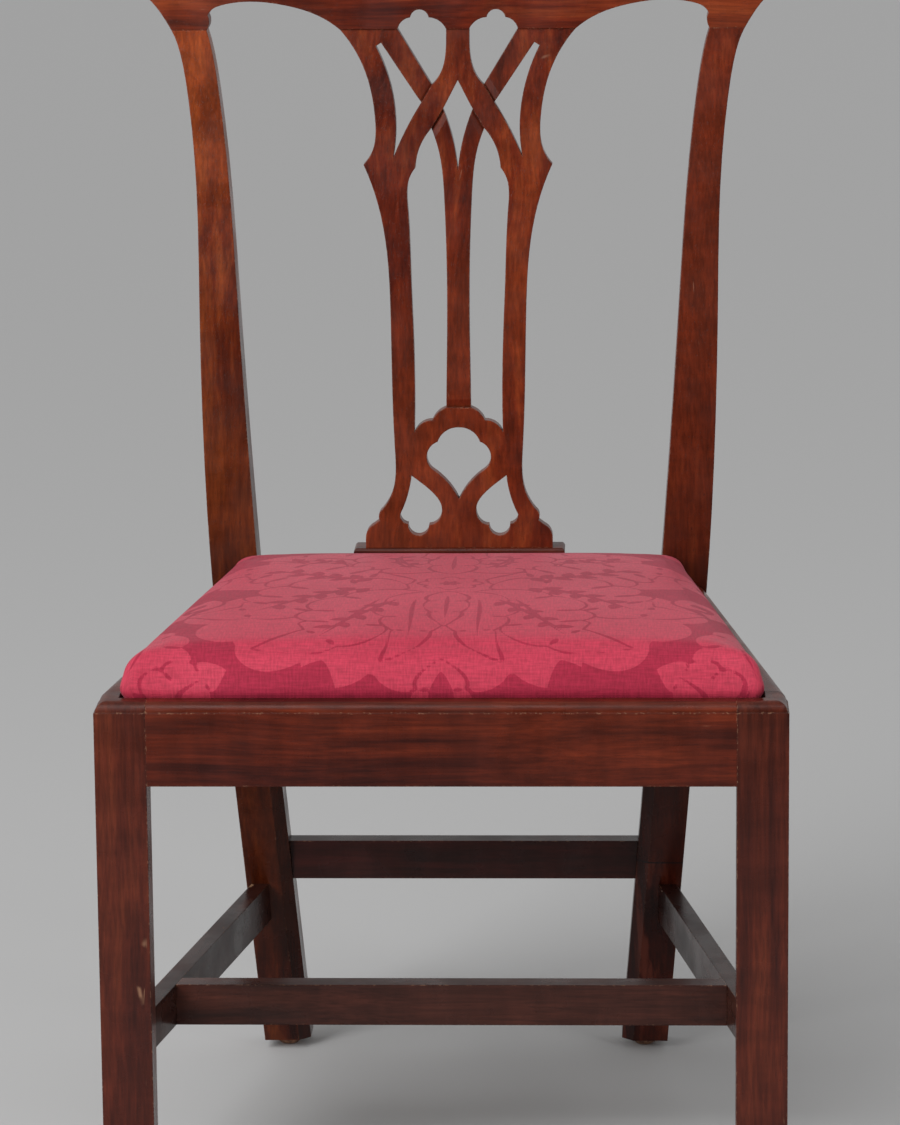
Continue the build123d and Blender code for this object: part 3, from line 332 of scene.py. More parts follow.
# Metals
def worn_metal(name, bright, dull, rough):
    """Metal with dull patches, brighter where it is rubbed."""
    material, tree, shader = new_material(name)
    place = stretched(tree, (1, 1, 1))
    patches = between(tree, noise(tree, place, 260.0, 4.0), 0.35, 0.65)
    rubbed = edge_mask(tree, 0.001)
    share = maths(tree, "MAXIMUM", patches, rubbed)
    tree.links.new(mix(tree, share, dull, bright), shader.inputs["Base Color"])
    shader.inputs["Metallic"].default_value = 1.0
    tree.links.new(between(tree, patches, 0.0, 1.0, rough + 0.2, rough), shader.inputs["Roughness"])
    bump = node(tree, "Bump", {"Strength": 0.4, "Distance": 0.0002, "Height": noise(tree, place, 700.0, 2.0)})
    tree.links.new(bump.outputs[0], shader.inputs["Normal"])
    return material


# Cloths
def threads(tree, place, period, axis):
    """Rounded ridges of threads that lie side by side along an axis."""
    scale = tau / (20 * period)  # the wave texture turns by 20 radians a unit
    values = {"Vector": place, "Scale": scale, "Distortion": 0.6, "Detail": 2.0, "Detail Scale": 1.5}
    return node(tree, "TexWave", values, bands_direction=axis, wave_profile="SIN").outputs["Fac"]


def damask(name):
    """Crimson damask: a satin motif on a duller ground, both woven of fine threads."""
    material, tree, shader = new_material(name)
    cloth = node(tree, "Attribute", attribute_name="cloth").outputs["Vector"]
    motif = node(tree, "Attribute", attribute_name="motif").outputs["Fac"]
    ragged = maths(tree, "SUBTRACT", noise(tree, cloth, 900.0, 1.0), 0.5)
    satin = between(tree, maths(tree, "ADD", motif, times(tree, ragged, 0.0012)), -0.0004, 0.0004)
    across = threads(tree, cloth, 0.0011, "X")
    along = threads(tree, cloth, 0.0009, "Y")
    slub_scale = node(tree, "Mapping", {"Vector": cloth, "Scale": (70, 520, 1)}).outputs[0]
    slub = noise(tree, slub_scale, 1.0, 2.0)
    warp_scale = node(tree, "Mapping", {"Vector": cloth, "Scale": (700, 90, 1)}).outputs[0]
    warp = noise(tree, warp_scale, 1.0, 2.0)
    fade = between(tree, noise(tree, cloth, 7.0, 2.0), 0.3, 0.7)

    ground = mix(tree, fade, (0.345, 0.017, 0.046), (0.39, 0.022, 0.056))
    shine = mix(tree, fade, (0.50, 0.036, 0.074), (0.55, 0.046, 0.088))
    colour = mix(tree, satin, ground, shine)
    weave = times(tree, maths(tree, "ADD", across, along), 0.5)
    fleck = maths(tree, "ADD", times(tree, slub, 0.5), times(tree, warp, 0.5))
    level = between(tree, fleck, 0.28, 0.72, 0.74, 1.20)
    level = maths(tree, "ADD", level, times(tree, weave, 0.06))
    colour = mix(tree, 1.0, colour, grey(tree, level), "MULTIPLY")
    tree.links.new(colour, shader.inputs["Base Color"])
    tree.links.new(between(tree, satin, 0.0, 1.0, 0.72, 0.5), shader.inputs["Roughness"])
    shader.inputs["Specular IOR Level"].default_value = 0.2
    shader.inputs["Sheen Weight"].default_value = 0.15
    shader.inputs["Sheen Roughness"].default_value = 0.4
    shader.inputs["Sheen Tint"].default_value = (1.0, 0.72, 0.75, 1)
    height = maths(tree, "ADD", times(tree, weave, 0.6), times(tree, fleck, 0.5))
    height = maths(tree, "ADD", height, times(tree, satin, 0.25))
    bump = node(tree, "Bump", {"Strength": 0.45, "Distance": 0.0005, "Height": height})
    tree.links.new(bump.outputs[0], shader.inputs["Normal"])
    return material


def plain_weave(name, pale, deep, period, stripe=None):
    """Coarse plain-woven cloth, with an optional coloured stripe near each selvedge."""
    material, tree, shader = new_material(name)
    cloth = node(tree, "Attribute", attribute_name="cloth").outputs["Vector"]
    over = times(tree, threads(tree, cloth, period, "X"), threads(tree, cloth, period, "Y"))
    fibre = noise(tree, cloth, 520.0, 4.0)
    share = maths(tree, "ADD", times(tree, over, 0.6), times(tree, fibre, 0.5))
    colour = mix(tree, between(tree, share, 0.1, 0.8), deep, pale)
    if stripe:
        side = maths(tree, "ABSOLUTE", node(tree, "SeparateXYZ", {0: cloth}).outputs["Z"])
        inner = between(tree, side, 0.62, 0.65)
        outer = between(tree, side, 0.80, 0.83, 1.0, 0.0)
        band = times(tree, inner, outer)
        colour = mix(tree, times(tree, band, 0.8), colour, stripe)
    dust = between(tree, noise(tree, cloth, 18.0, 3.0), 0.45, 0.75)
    colour = mix(tree, times(tree, dust, 0.35), colour, deep)
    tree.links.new(colour, shader.inputs["Base Color"])
    shader.inputs["Roughness"].default_value = 0.9
    bump = node(tree, "Bump", {"Strength": 0.7, "Distance": 0.0006, "Height": share})
    tree.links.new(bump.outputs[0], shader.inputs["Normal"])
    return material


def paint(piece, material):
    piece.data.materials.clear()
    piece.data.materials.append(material)


# Finish of the rigid pieces: each has its grain along its own length and is cut from its own board
# Tones are the light, the middle and the dark of the grain
back_tones = ((0.240, 0.044, 0.012), (0.124, 0.0150, 0.0046), (0.042, 0.005, 0.0026))
left_post_tones = ((0.325, 0.064, 0.013), (0.155, 0.0210, 0.0048), (0.055, 0.007, 0.0028))
right_post_tones = ((0.205, 0.034, 0.010), (0.108, 0.0122, 0.0042), (0.036, 0.0042, 0.0024))
rail_tones = ((0.170, 0.026, 0.009), (0.096, 0.0135, 0.0055), (0.038, 0.006, 0.0035))
leg_tones = ((0.125, 0.024, 0.010), (0.076, 0.0130, 0.0065), (0.034, 0.0062, 0.004))
# The stretchers' tones are darker than the rails' as painted shade under the seat, the rear stretcher's
# darkest
stretcher_shaded_tones = ((0.086, 0.023, 0.014), (0.052, 0.0145, 0.0095), (0.024, 0.008, 0.006))
side_stretcher_shaded_tones = ((0.060, 0.019, 0.012), (0.034, 0.0110, 0.0080), (0.016, 0.006, 0.005))
rear_stretcher_shaded_tones = ((0.070, 0.013, 0.009), (0.040, 0.0072, 0.0055), (0.018, 0.004, 0.003))
rail_turn = 0.146  # how far the side rails run in towards the back, as a turn about Z
rail_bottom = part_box("front_seat_rail")[0].z
# Painted shade on the rear posts: their colour darkens from the seat rail's underside downwards, standing in
# for the shadow under the seat
left_post_painted_shade = (rail_bottom, 0.95, 0.30)  # lower and upper height, and the share of its tone left below
right_post_painted_shade = (rail_bottom, 0.70, 0.36)
right_leg_mend = 0.178  # height of the mended seam
right_post_details = {"painted_shade_below": right_post_painted_shade, "mend_height": right_leg_mend}
stretcher_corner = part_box("side_stretcher_left")[1]
bare_spot = ((stretcher_corner.x - 0.022, stretcher_corner.y - 0.024, stretcher_corner.z), 0.011)
board_step = (0.83, 0.57, 0.39)  # how far the grain is shifted from one board to the next
wood_finish = {
    "crest_rail": ("X", back_tones, {}),
    "rear_post_right": ("Z", right_post_tones, right_post_details),
    "rear_post_left": ("Z", left_post_tones, {"painted_shade_below": left_post_painted_shade}),
    "splat": ("Z", back_tones, {}),
    "shoe": ("X", rail_tones, {}),
    "front_leg_right": ("Z", leg_tones, {}),
    "front_leg_left": ("Z", leg_tones, {}),
    "front_seat_rail": ("X", rail_tones, {}),
    "rear_seat_rail": ("X", rail_tones, {}),
    "side_seat_rail_right": ("Y", rail_tones, {"turn": -rail_turn}),
    "side_seat_rail_left": ("Y", rail_tones, {"turn": rail_turn}),
    "side_stretcher_right": ("Y", side_stretcher_shaded_tones, {"turn": -rail_turn}),
    "side_stretcher_left": ("Y", side_stretcher_shaded_tones, {"turn": rail_turn, "chip": bare_spot}),
    "medial_stretcher": ("X", stretcher_shaded_tones, {}),
    "rear_stretcher": ("X", rear_stretcher_shaded_tones, {}),
}
for count, (name, (along, tones, details)) in enumerate(wood_finish.items()):
    board = [count * step for step in board_step]
    paint(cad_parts[name], mahogany("mahogany_" + name, along, tones, offset=board, **details))

pine_along_x = pine("pine_x", "X")
pine_along_y = pine("pine_y", "Y", (0.3, 0.2, 0.1))
glide_metal = worn_metal("glide_metal", (0.55, 0.30, 0.19), (0.20, 0.11, 0.08), 0.34)
tack_iron = worn_metal("tack_iron", (0.16, 0.15, 0.14), (0.05, 0.04, 0.035), 0.5)
for name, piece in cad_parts.items():
    if name.startswith("corner_block") or name in ("seat_frame_front", "seat_frame_rear"):
        paint(piece, pine_along_x)
    elif name in ("seat_frame_right", "seat_frame_left"):
        paint(piece, pine_along_y)
    elif name.startswith("glide"):
        paint(piece, glide_metal)
    elif name.endswith("tacks"):
        paint(piece, tack_iron)


# Plan of the seat, read from the frame's cover
cover_low, cover_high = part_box("seat_cover")
frame_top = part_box("seat_frame_front")[1].z
lip_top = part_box("front_seat_rail")[1].z
cover_points = [v.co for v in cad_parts["seat_cover"].data.vertices]
seat_middle_y = (cover_low.y + cover_high.y) / 2
side_front = max((p for p in cover_points if p.y < seat_middle_y), key=lambda p: p.x)
side_rear = max((p for p in cover_points if p.y > cover_high.y - 2 * seat_corner_radius), key=lambda p: p.x)
side_slope = (side_front.x - side_rear.x) / (side_rear.y - side_front.y)


def seat_side_x(y, inset=0.0):
    return side_front.x - side_slope * (y - side_front.y) - inset * sqrt(1 + side_slope**2)


def seat_corners(inset):
    """Corners of the inset plan, anticlockwise from the front left."""
    near, away = cover_low.y + inset, cover_high.y - inset
    right_near, right_away = seat_side_x(near, inset), seat_side_x(away, inset)
    return np.array([(-right_near, near), (right_near, near), (right_away, away), (-right_away, away)])


def rounded_side(start, corner, end, shares):
    """Points on the rounded corner between two neighbours, where shares run from 0 to 1."""
    before = corner + (start - corner) * seat_corner_radius / np.linalg.norm(start - corner)
    after = corner + (end - corner) * seat_corner_radius / np.linalg.norm(end - corner)
    t = shares[:, None]
    return (1 - t) ** 2 * before + 2 * t * (1 - t) * corner + t**2 * after


def seat_ring(inset):
    """Four sides of the rounded plan, each from the middle of one corner to the next."""
    corners = seat_corners(inset)
    sides = []
    for k, cells in enumerate((cells_across, cells_deep, cells_across, cells_deep)):
        a, b, c, d = (corners[(k + n) % 4] for n in (-1, 0, 1, 2))
        first = rounded_side(a, b, c, np.linspace(0.5, 1, corner_steps))
        last = rounded_side(b, c, d, np.linspace(0, 0.5, corner_steps))
        path = np.vstack([first, last])
        far = np.concatenate([[0], np.cumsum(np.linalg.norm(np.diff(path, axis=0), axis=1))])
        even = np.linspace(0, far[-1], cells + 1)
        sides.append(np.column_stack([np.interp(even, far, path[:, n]) for n in (0, 1)]))
    return sides


def coons_patch(sides):
    """A grid of points that fills a ring, one row for each step from front to back."""
    front, right, rear, left = sides[0], sides[1], sides[2][::-1], sides[3][::-1]
    s = np.linspace(0, 1, cells_across + 1)[None, :, None]
    t = np.linspace(0, 1, cells_deep + 1)[:, None, None]
    ruled = (1 - t) * front[None] + t * rear[None] + (1 - s) * left[:, None] + s * right[:, None]
    bilinear = (
        (1 - s) * (1 - t) * front[0] + s * (1 - t) * front[-1] + (1 - s) * t * rear[0] + s * t * rear[-1]
    )
    return ruled - bilinear


def mesh_piece(name, points, faces):
    mesh = bpy.data.meshes.new(name)
    mesh.from_pydata([tuple(p) for p in points], [], faces)
    mesh.update()
    piece = bpy.data.objects.new(name, mesh)
    scene.collection.objects.link(piece)
    mesh.polygons.foreach_set("use_smooth", [True] * len(mesh.polygons))
    return piece


def apply_modifiers(piece):
    evaluated = piece.evaluated_get(bpy.context.evaluated_depsgraph_get())
    mesh = bpy.data.meshes.new_from_object(evaluated)
    piece.modifiers.clear()
    piece.data = mesh


# Cushion skin: top, rounded edge, sides and a hem turned under the seat's frame
def cushion_skin():
    edge_top = cover_high.z - cushion_crown
    edge = edge_top - cushion_shoulder
    top_plan = coons_patch(seat_ring(cushion_shoulder_inset)).reshape(-1, 2)
    across = 1 - np.abs(np.linspace(-1, 1, cells_across + 1)) ** 3
    deep = 1 - np.abs(np.linspace(-1, 1, cells_deep + 1)) ** 3
    top_z = edge_top + start_share * cushion_crown * np.outer(deep, across).ravel()
    points = [np.column_stack([top_plan, top_z])]

    profile = []
    for angle in (72, 54, 36, 18, 0):
        inset = cushion_shoulder_inset * (1 - cos(radians(angle)))
        profile.append((inset, edge + cushion_shoulder * sin(radians(angle))))
    tuck = lip_top + tuck_height
    for share, bulge in ((0.35, 0.7), (0.7, 1.0), (1.0, 0.5)):
        profile.append((-bulge * side_bulge, edge + share * (tuck - edge)))
    bottom = cover_low.z
    for share in (0.0, 0.3, 0.6, 0.93):
        profile.append((cushion_draw_in, lip_top - lip_margin + share * (bottom - lip_top + lip_margin)))
    for share in (0.08, 0.4, 0.7, 1):
        profile.append((cushion_draw_in + share * (hem_width - cushion_draw_in), bottom))
    for inset, z in profile:
        ring = np.vstack([side[:-1] for side in seat_ring(inset)])
        ring[:, 1] = np.minimum(ring[:, 1], cover_high.y)
        points.append(np.column_stack([ring, np.full(len(ring), z)]))

    wide = cells_across + 1
    faces = []
    for row in range(cells_deep):
        for column in range(cells_across):
            k = row * wide + column
            faces.append((k, k + 1, k + wide + 1, k + wide))
    last_row = cells_deep * wide
    loop = list(range(cells_across))
    loop += [row * wide + cells_across for row in range(cells_deep)]
    loop += [last_row + column for column in range(cells_across, 0, -1)]
    loop += [row * wide for row in range(cells_deep, 0, -1)]
    start = len(top_plan)
    for _ in profile:
        ring = list(range(start, start + len(loop)))
        for a, b, c, d in zip(loop, ring, ring[1:] + ring[:1], loop[1:] + loop[:1]):
            faces.append((a, b, c, d))
        loop = ring
        start += len(ring)
    points = np.vstack(points)
    back_share = np.clip((points[:, 1] - cover_low.y) / (cover_high.y - cover_low.y), 0, 1)
    up_share = np.clip((points[:, 2] - lip_top) / (cover_high.z - lip_top), 0, 1)
    points[:, 2] -= rear_drop * back_share**2 * up_share
    return mesh_piece("seat_cushion", points, faces)


def positions(piece):
    co = np.zeros(len(piece.data.vertices) * 3)
    piece.data.vertices.foreach_get("co", co)
    return co.reshape(-1, 3)


def set_positions(piece, points):
    piece.data.vertices.foreach_set("co", points.ravel())
    piece.data.update()


def fill(piece):
    """Swell the cushion's cloth with pressure, held where it is tacked round the frame."""
    before = positions(piece)
    held = piece.vertex_groups.new(name="held")
    held.add([int(n) for n in np.flatnonzero(before[:, 2] < lip_top + lip_margin)], 1.0, "REPLACE")
    cloth = piece.modifiers.new("fill", "CLOTH")
    settings = cloth.settings
    settings.quality = 6
    settings.mass = 0.25
    settings.tension_stiffness = settings.compression_stiffness = 20
    settings.shear_stiffness = 8
    settings.bending_stiffness = 2.0
    settings.use_pressure = True
    settings.uniform_pressure_force = fill_pressure
    settings.vertex_group_mass = "held"
    settings.effector_weights.gravity = 0
    for step in range(1, fill_frames + 1):
        scene.frame_set(step)
    apply_modifiers(piece)
    scene.frame_set(1)
    moved = positions(piece) - before
    far = np.linalg.norm(moved, axis=1, keepdims=True)
    moved *= swell_cap * np.tanh(far / swell_cap) / np.maximum(far, 1e-9)
    points = before + smoothed(piece, moved, before[:, 2] > lip_top + lip_margin)
    points[:, 1] = np.minimum(points[:, 1], cover_high.y + rear_play)
    set_positions(piece, points)
    piece.vertex_groups.clear()


def smoothed(piece, moved, free):
    """The movement averaged along the edges of the mesh, and none where a point isn't free."""
    ends = np.zeros(2 * len(piece.data.edges), int)
    piece.data.edges.foreach_get("vertices", ends)
    ends = np.vstack([ends.reshape(-1, 2), ends.reshape(-1, 2)[:, ::-1]])
    neighbours = np.bincount(ends[:, 0])[:, None]
    for _ in range(swell_smoothing):
        total = np.zeros_like(moved)
        np.add.at(total, ends[:, 0], moved[ends[:, 1]])
        moved = (moved + total / neighbours) / 2 * free[:, None]
    return moved


def pleat(piece):
    """Small gathers where the cloth is drawn round each corner, deepest at the lip."""
    points = positions(piece)
    low, high = cover_low.z, cover_high.z - cushion_crown
    rise = np.clip((high - points[:, 2]) / (high - frame_top), 0, 1)
    for k, corner in enumerate(seat_corners(0.0)):
        outward = points[:, :2] - corner * pleat_hub
        near = np.clip(1 - np.linalg.norm(points[:, :2] - corner, axis=1) / pleat_reach, 0, 1)
        angle = np.arctan2(outward[:, 1], outward[:, 0])
        wave = np.sin(angle * pleats_per_corner * 4 + k)  # a corner is a quarter of a turn
        amount = pleat_depth * near * rise * (points[:, 2] > low + pleat_foot) * (wave - 1) / 2
        points[:, 0] += amount * np.sign(corner[0]) * pleat_lean
        points[:, 1] += amount * np.sign(corner[1]) * pleat_lean
    set_positions(piece, points)


# Damask motif, drawn on the flat cloth as leaves, scrolls and a flower, the same on both sides of the middle
spine_steps = 60  # points along a leaf
stem_steps = 40  # points along a twig


def curve_points(controls, count):
    """A smooth curve through Bezier control points."""
    t = np.linspace(0, 1, count)[:, None]
    points = [np.array(p, float)[None] * np.ones_like(t) for p in controls]
    while len(points) > 1:
        points = [(1 - t) * a + t * b for a, b in zip(points, points[1:])]
    return points[0]


def spine_frame(spine):
    """Unit vectors to the left of a curve at each of its points."""
    along = np.gradient(spine, axis=0)
    return np.column_stack([-along[:, 1], along[:, 0]]) / np.linalg.norm(along, axis=1, keepdims=True)


def leaf(controls, width, lobes=0, lobe_depth=0.3, fullness=0.75):
    """Outline of a leaf along a curve, pointed at both ends, with lobed edges."""
    spine = curve_points(controls, spine_steps)
    across = spine_frame(spine)
    t = np.linspace(0, 1, len(spine))
    half = width / 2 * np.sin(pi * t**fullness) ** 0.75
    if lobes:
        half = half * (1 - lobe_depth + lobe_depth * np.abs(np.sin(pi * lobes * t)) ** 0.6)
    half = half[:, None]
    return np.vstack([spine + across * half, (spine - across * half)[::-1]])


def leaf_eyes(controls, width, lobes):
    """Outlines of the small dark drops where two lobes of a leaf meet, on both sides of its spine."""
    spine = curve_points(controls, spine_steps)
    across = spine_frame(spine)
    drops = []
    for k in range(1, lobes):
        at = round((spine_steps - 1) * k / lobes)
        half = 0.42 * width * sin(pi * (k / lobes) ** 0.75)
        for side in (-half, half):
            ends = [spine[at] + share * side * across[at] for share in (0.45, 0.75, 1.0)]
            drops.append(leaf(ends, 0.055 * width))
    return drops


def leaf_vein(controls, width):
    """Outline of the dark vein down the middle of a leaf, clear of both its ends."""
    spine = curve_points(controls, spine_steps)
    return leaf([spine[k] for k in (10, 22, 34, 48)], width)


def scroll(centre, radius, turns, start, width, hand):
    """Outline of a tapering spiral that curls in to its centre."""
    t = np.linspace(0, 1, 70)
    angle = start + hand * turns * tau * t
    reach = radius * (1 - 0.85 * t)
    spine = np.column_stack([centre[0] + reach * np.cos(angle), centre[1] + reach * np.sin(angle)])
    across = spine_frame(spine)
    half = (width / 2 * (1 - 0.6 * t))[:, None]
    return np.vstack([spine + across * half, (spine - across * half)[::-1]])


def flower(radius, petals, depth):
    """Outline of a round flower at the middle of the medallion."""
    angle = np.linspace(0, tau, 90, endpoint=False)
    reach = radius * (1 - depth + depth * np.abs(np.cos(petals * angle / 2)))
    return np.column_stack([reach * np.cos(angle), reach * np.sin(angle)])


def outline_distance(points, outline):
    """Signed distance from each point to a closed outline, positive inside and cut off further out."""
    reach = 0.01
    result = np.full(len(points), -reach)
    near = np.all((points > outline.min(0) - reach) & (points < outline.max(0) + reach), axis=1)
    close = points[near]
    best = np.full(len(close), reach**2)
    inside = np.zeros(len(close), bool)
    x, y = close[:, 0], close[:, 1]
    for a, b in zip(outline, np.roll(outline, -1, axis=0)):
        step = b - a
        share = np.clip(((close - a) @ step) / max(step @ step, 1e-12), 0, 1)
        best = np.minimum(best, ((close - a - share[:, None] * step) ** 2).sum(1))
        crosses = (a[1] > y) != (b[1] > y)
        if crosses.any():
            inside ^= crosses & (x < a[0] + (y - a[1]) * step[0] / (step[1] if step[1] else 1e-12))
    result[near] = np.where(inside, 1, -1) * np.sqrt(best)
    return result


def twig(controls, leaflets, size):
    """Outlines of a thin stem with small leaves on both sides by turns."""
    stem = curve_points(controls, stem_steps)
    shapes = [leaf(controls, 0.28 * size)]
    for k in range(leaflets):
        at = int((stem_steps - 2) * (k + 1) / (leaflets + 1))
        along = stem[at + 1] - stem[at]
        angle = np.arctan2(along[1], along[0]) + (0.9 if k % 2 else -0.9)
        out = size * np.array([cos(angle), sin(angle)])
        shapes.append(leaf([stem[at], stem[at] + 0.5 * out, stem[at] + out], 0.6 * size))
    return shapes


# Leaves of the damask on its right half, back ones first: control points in millimetres from the
# medallion, width, and lobes along each edge
damask_leaves = [
    ([(272, -90), (244, -34), (262, 40)], 56, 4),
    ([(240, 220), (196, 176), (150, 196)], 58, 4),
    ([(0, 262), (0, 226), (0, 184)], 52, 3),
    ([(76, 258), (96, 226), (84, 190)], 46, 3),
    ([(64, 60), (60, 150), (166, 132)], 78, 5),
    ([(14, 52), (84, 90), (26, 172)], 70, 4),
    ([(0, 40), (0, 96), (0, 160)], 42, 3),
    ([(30, 14), (124, -14), (112, 122), (212, 66)], 106, 6),
    ([(34, -20), (136, 22), (90, -126), (206, -92)], 108, 6),
    ([(20, -36), (112, -76), (26, -172), (146, -190)], 92, 5),
    ([(6, -36), (62, -90), (-8, -140), (46, -206)], 56, 4),
    ([(0, -34), (0, -84), (0, -146)], 36, 3),
    ([(266, -246), (216, -206), (232, -128)], 84, 5),
    ([(226, -268), (206, -226), (166, -216)], 56, 4),
    ([(0, -278), (0, -250), (0, -206)], 60, 3),
]
# Curled tips of the large leaves: centre, radius, turns, starting angle, width and hand
damask_scrolls = [
    ((206, 52), 32, 1.15, 1.5, 22, -1),
    ((200, -56), 28, 1.1, -1.4, 20, 1),
]
# Dark twigs inside the large leaves: control points, leaves on the stem and their length
damask_twigs = [
    ([(58, 20), (104, 22), (150, 80)], 9, 18),
    ([(60, -18), (104, -28), (146, -88)], 9, 18),
    ([(40, -62), (66, -110), (96, -162)], 8, 16),
    ([(84, 92), (104, 116), (144, 122)], 6, 14),
    ([(26, 66), (50, 96), (44, 140)], 6, 14),
]
# Dark drops that run up from the front edge: control points and width
damask_drops = [
    ([(0, -272), (0, -246), (0, -218)], 24),
    ([(114, -274), (108, -248), (92, -206)], 56),
]
medallion_reach = (212, 184, 236)  # to the sides, the back and the front, in millimetres
medallion_scallops = 26
flower_radius = 25
flower_eye_radius = 9
vein_width = 3.6
pen_width = 2.3  # of the dark outlines, which swell and thin along the way
pen_swell = 1.2
pen_waves = 110  # radians a metre


def medallion(sides, back, front, scallops):
    """Scalloped oval behind the leaves, drawn in at both sides where the dark ground shows."""
    angle = np.linspace(0, tau, 300, endpoint=False)
    squareness = np.where(np.sin(angle) > 0, 2.0, 3.5)
    deep = np.abs(np.sin(angle)) / np.where(np.sin(angle) > 0, back, front)
    reach = ((np.abs(np.cos(angle)) / sides) ** squareness + deep**squareness) ** (-1 / squareness)
    reach *= 1 - 0.30 * np.exp(-(((np.sin(angle) + 0.12) / 0.17) ** 2))
    reach *= 0.91 + 0.09 * np.abs(np.cos(scallops * angle / 2)) ** 0.6
    return np.column_stack([reach * np.cos(angle), reach * np.sin(angle)])


def damask_field(points):
    """How far inside the light motif each point lies. A leaf is outlined in the dark ground."""
    mm = 0.001
    swell = np.sin(pen_waves * points[:, 0]) * np.cos(pen_waves * points[:, 1])
    outline_gap = (pen_width + pen_swell * swell) * mm
    field = np.full(len(points), -1.0)

    def lay(outline):
        inside = outline_distance(points, outline)
        return np.maximum(np.minimum(field, -(inside + outline_gap)), inside)

    def cut(outline):
        return np.minimum(field, -outline_distance(points, outline))

    field = lay(medallion(*(reach * mm for reach in medallion_reach), medallion_scallops))
    for controls, width, lobes in damask_leaves:
        controls = np.array(controls) * mm
        field = lay(leaf(controls, width * mm, lobes))
        for drop in leaf_eyes(controls, width * mm, lobes):
            field = cut(drop)
        field = cut(leaf_vein(controls, vein_width * mm))
    for centre, radius, turns, start, width, hand in damask_scrolls:
        field = lay(scroll(np.array(centre) * mm, radius * mm, turns, start, width * mm, hand))
    for controls, leaflets, size in damask_twigs:
        for outline in twig(np.array(controls) * mm, leaflets, size * mm):
            field = cut(outline)
    for controls, width in damask_drops:
        field = cut(leaf(np.array(controls) * mm, width * mm))
    field = lay(flower(flower_radius * mm, 8, 0.3))
    return cut(flower(flower_eye_radius * mm, 6, 0.5))


def weave_damask(piece):
    """Give each point its place on the flat cloth and its distance inside the woven motif."""
    points = positions(piece)
    normals = np.zeros(len(points) * 3)
    piece.data.vertices.foreach_get("normal", normals)
    normals = normals.reshape(-1, 3)
    drop = np.maximum(cover_high.z - cushion_crown - points[:, 2], 0)
    lean = np.abs(normals[:, :2]) / (np.abs(normals[:, :2]).sum(1, keepdims=True) + 0.15)
    flat = points[:, :2] + np.sign(normals[:, :2]) * lean * drop[:, None]
    motif_middle_y = seat_middle_y + motif_setback
    cloth = np.column_stack([flat[:, 0], flat[:, 1] - motif_middle_y, np.zeros(len(points))])
    attribute = piece.data.attributes.new("cloth", "FLOAT_VECTOR", "POINT")
    attribute.data.foreach_set("vector", cloth.astype(np.float32).ravel())

    field = damask_field(np.column_stack([np.abs(cloth[:, 0]), cloth[:, 1]]))
    attribute = piece.data.attributes.new("motif", "FLOAT", "POINT")
    attribute.data.foreach_set("value", field.astype(np.float32))


cushion = cushion_skin()
fill(cushion)
pleat(cushion)
smooth = cushion.modifiers.new("smooth", "SUBSURF")
smooth.levels = smooth.render_levels = 1
apply_modifiers(cushion)
weave_damask(cushion)
thick = cushion.modifiers.new("thick", "SOLIDIFY")
thick.thickness = cover_thickness
thick.offset = -1
paint(cushion, damask("damask"))
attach(cushion, "slip_seat")
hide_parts("seat_cover", "stuffing_pad")


# Webbing and base cloth, seen from below
def sag(x, y):
    """How far the webbing hangs in the seat frame's opening."""
    reach_x = webbing_free * cover_high.x
    reach_y = webbing_free * (cover_high.y - cover_low.y) / 2
    bow = np.clip(1 - (x / reach_x) ** 2, 0, 1) * np.clip(1 - ((y - seat_middle_y) / reach_y) ** 2, 0, 1)
    return webbing_sag * bow


def cloth_grid(name, rows, thickness, material):
    """A sheet through rows of points, with its flat coordinates, given thickness upwards."""
    points, cloths, faces = [], [], []
    for strip, flat in rows:
        start = len(points)
        count, wide = strip.shape[:2]
        points += list(strip.reshape(-1, 3))
        cloths += list(flat.reshape(-1, 3))
        for row in range(count - 1):
            for column in range(wide - 1):
                k = start + row * wide + column
                faces.append((k, k + 1, k + wide + 1, k + wide))
    piece = mesh_piece(name, points, faces)
    attribute = piece.data.attributes.new("cloth", "FLOAT_VECTOR", "POINT")
    attribute.data.foreach_set("vector", np.array(cloths, np.float32).ravel())
    solid = piece.modifiers.new("thick", "SOLIDIFY")
    solid.thickness = thickness
    solid.offset = 1
    paint(piece, material)
    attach(piece, "slip_seat")
    return piece


def strap_rows(middle, low, high, axis, heights):
    """One strap along an axis between two ends, laid at given heights along it."""
    lengthwise = np.linspace(low, high, strap_steps)
    across = np.linspace(-webbing_width / 2, webbing_width / 2, strap_columns)
    run, side = np.meshgrid(lengthwise, across, indexing="ij")
    x, y = (middle + side, run) if axis == "Y" else (run, middle + side)
    z = heights(run) - sag(x, y)
    flat = np.dstack([run, side, side / (webbing_width / 2)])
    strip = np.dstack([x, y, z])
    return (strip, flat) if axis == "X" else (strip[:, ::-1], flat[:, ::-1])


jute = plain_weave("jute", (0.42, 0.33, 0.21), (0.16, 0.115, 0.068), 0.0026, (0.20, 0.075, 0.05))
linen = plain_weave("linen", (0.52, 0.44, 0.32), (0.26, 0.21, 0.145), 0.0012)
places = [(n - (webbing_count - 1) / 2) * webbing_pitch for n in range(webbing_count)]
long_low, long_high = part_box("webbing_lengthwise")
cross_low, cross_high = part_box("webbing_crosswise")
base_low, base_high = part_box("base_cloth")
cross_middle = (cross_low.y + cross_high.y) / 2


def flat_straps(run):
    """Height of a lengthwise strap, which lies level."""
    return np.full_like(run, long_low.z)


def over_straps(run):
    """Height of a crosswise strap, which climbs over each lengthwise one."""
    lift = np.zeros_like(run)
    for place in places:
        away = np.clip((np.abs(run - place) - webbing_width / 2) / strap_climb, 0, 1)
        lift = np.maximum(lift, 1 - away)
    return cross_low.z + (cross_high.z - webbing_thickness - cross_low.z) * lift


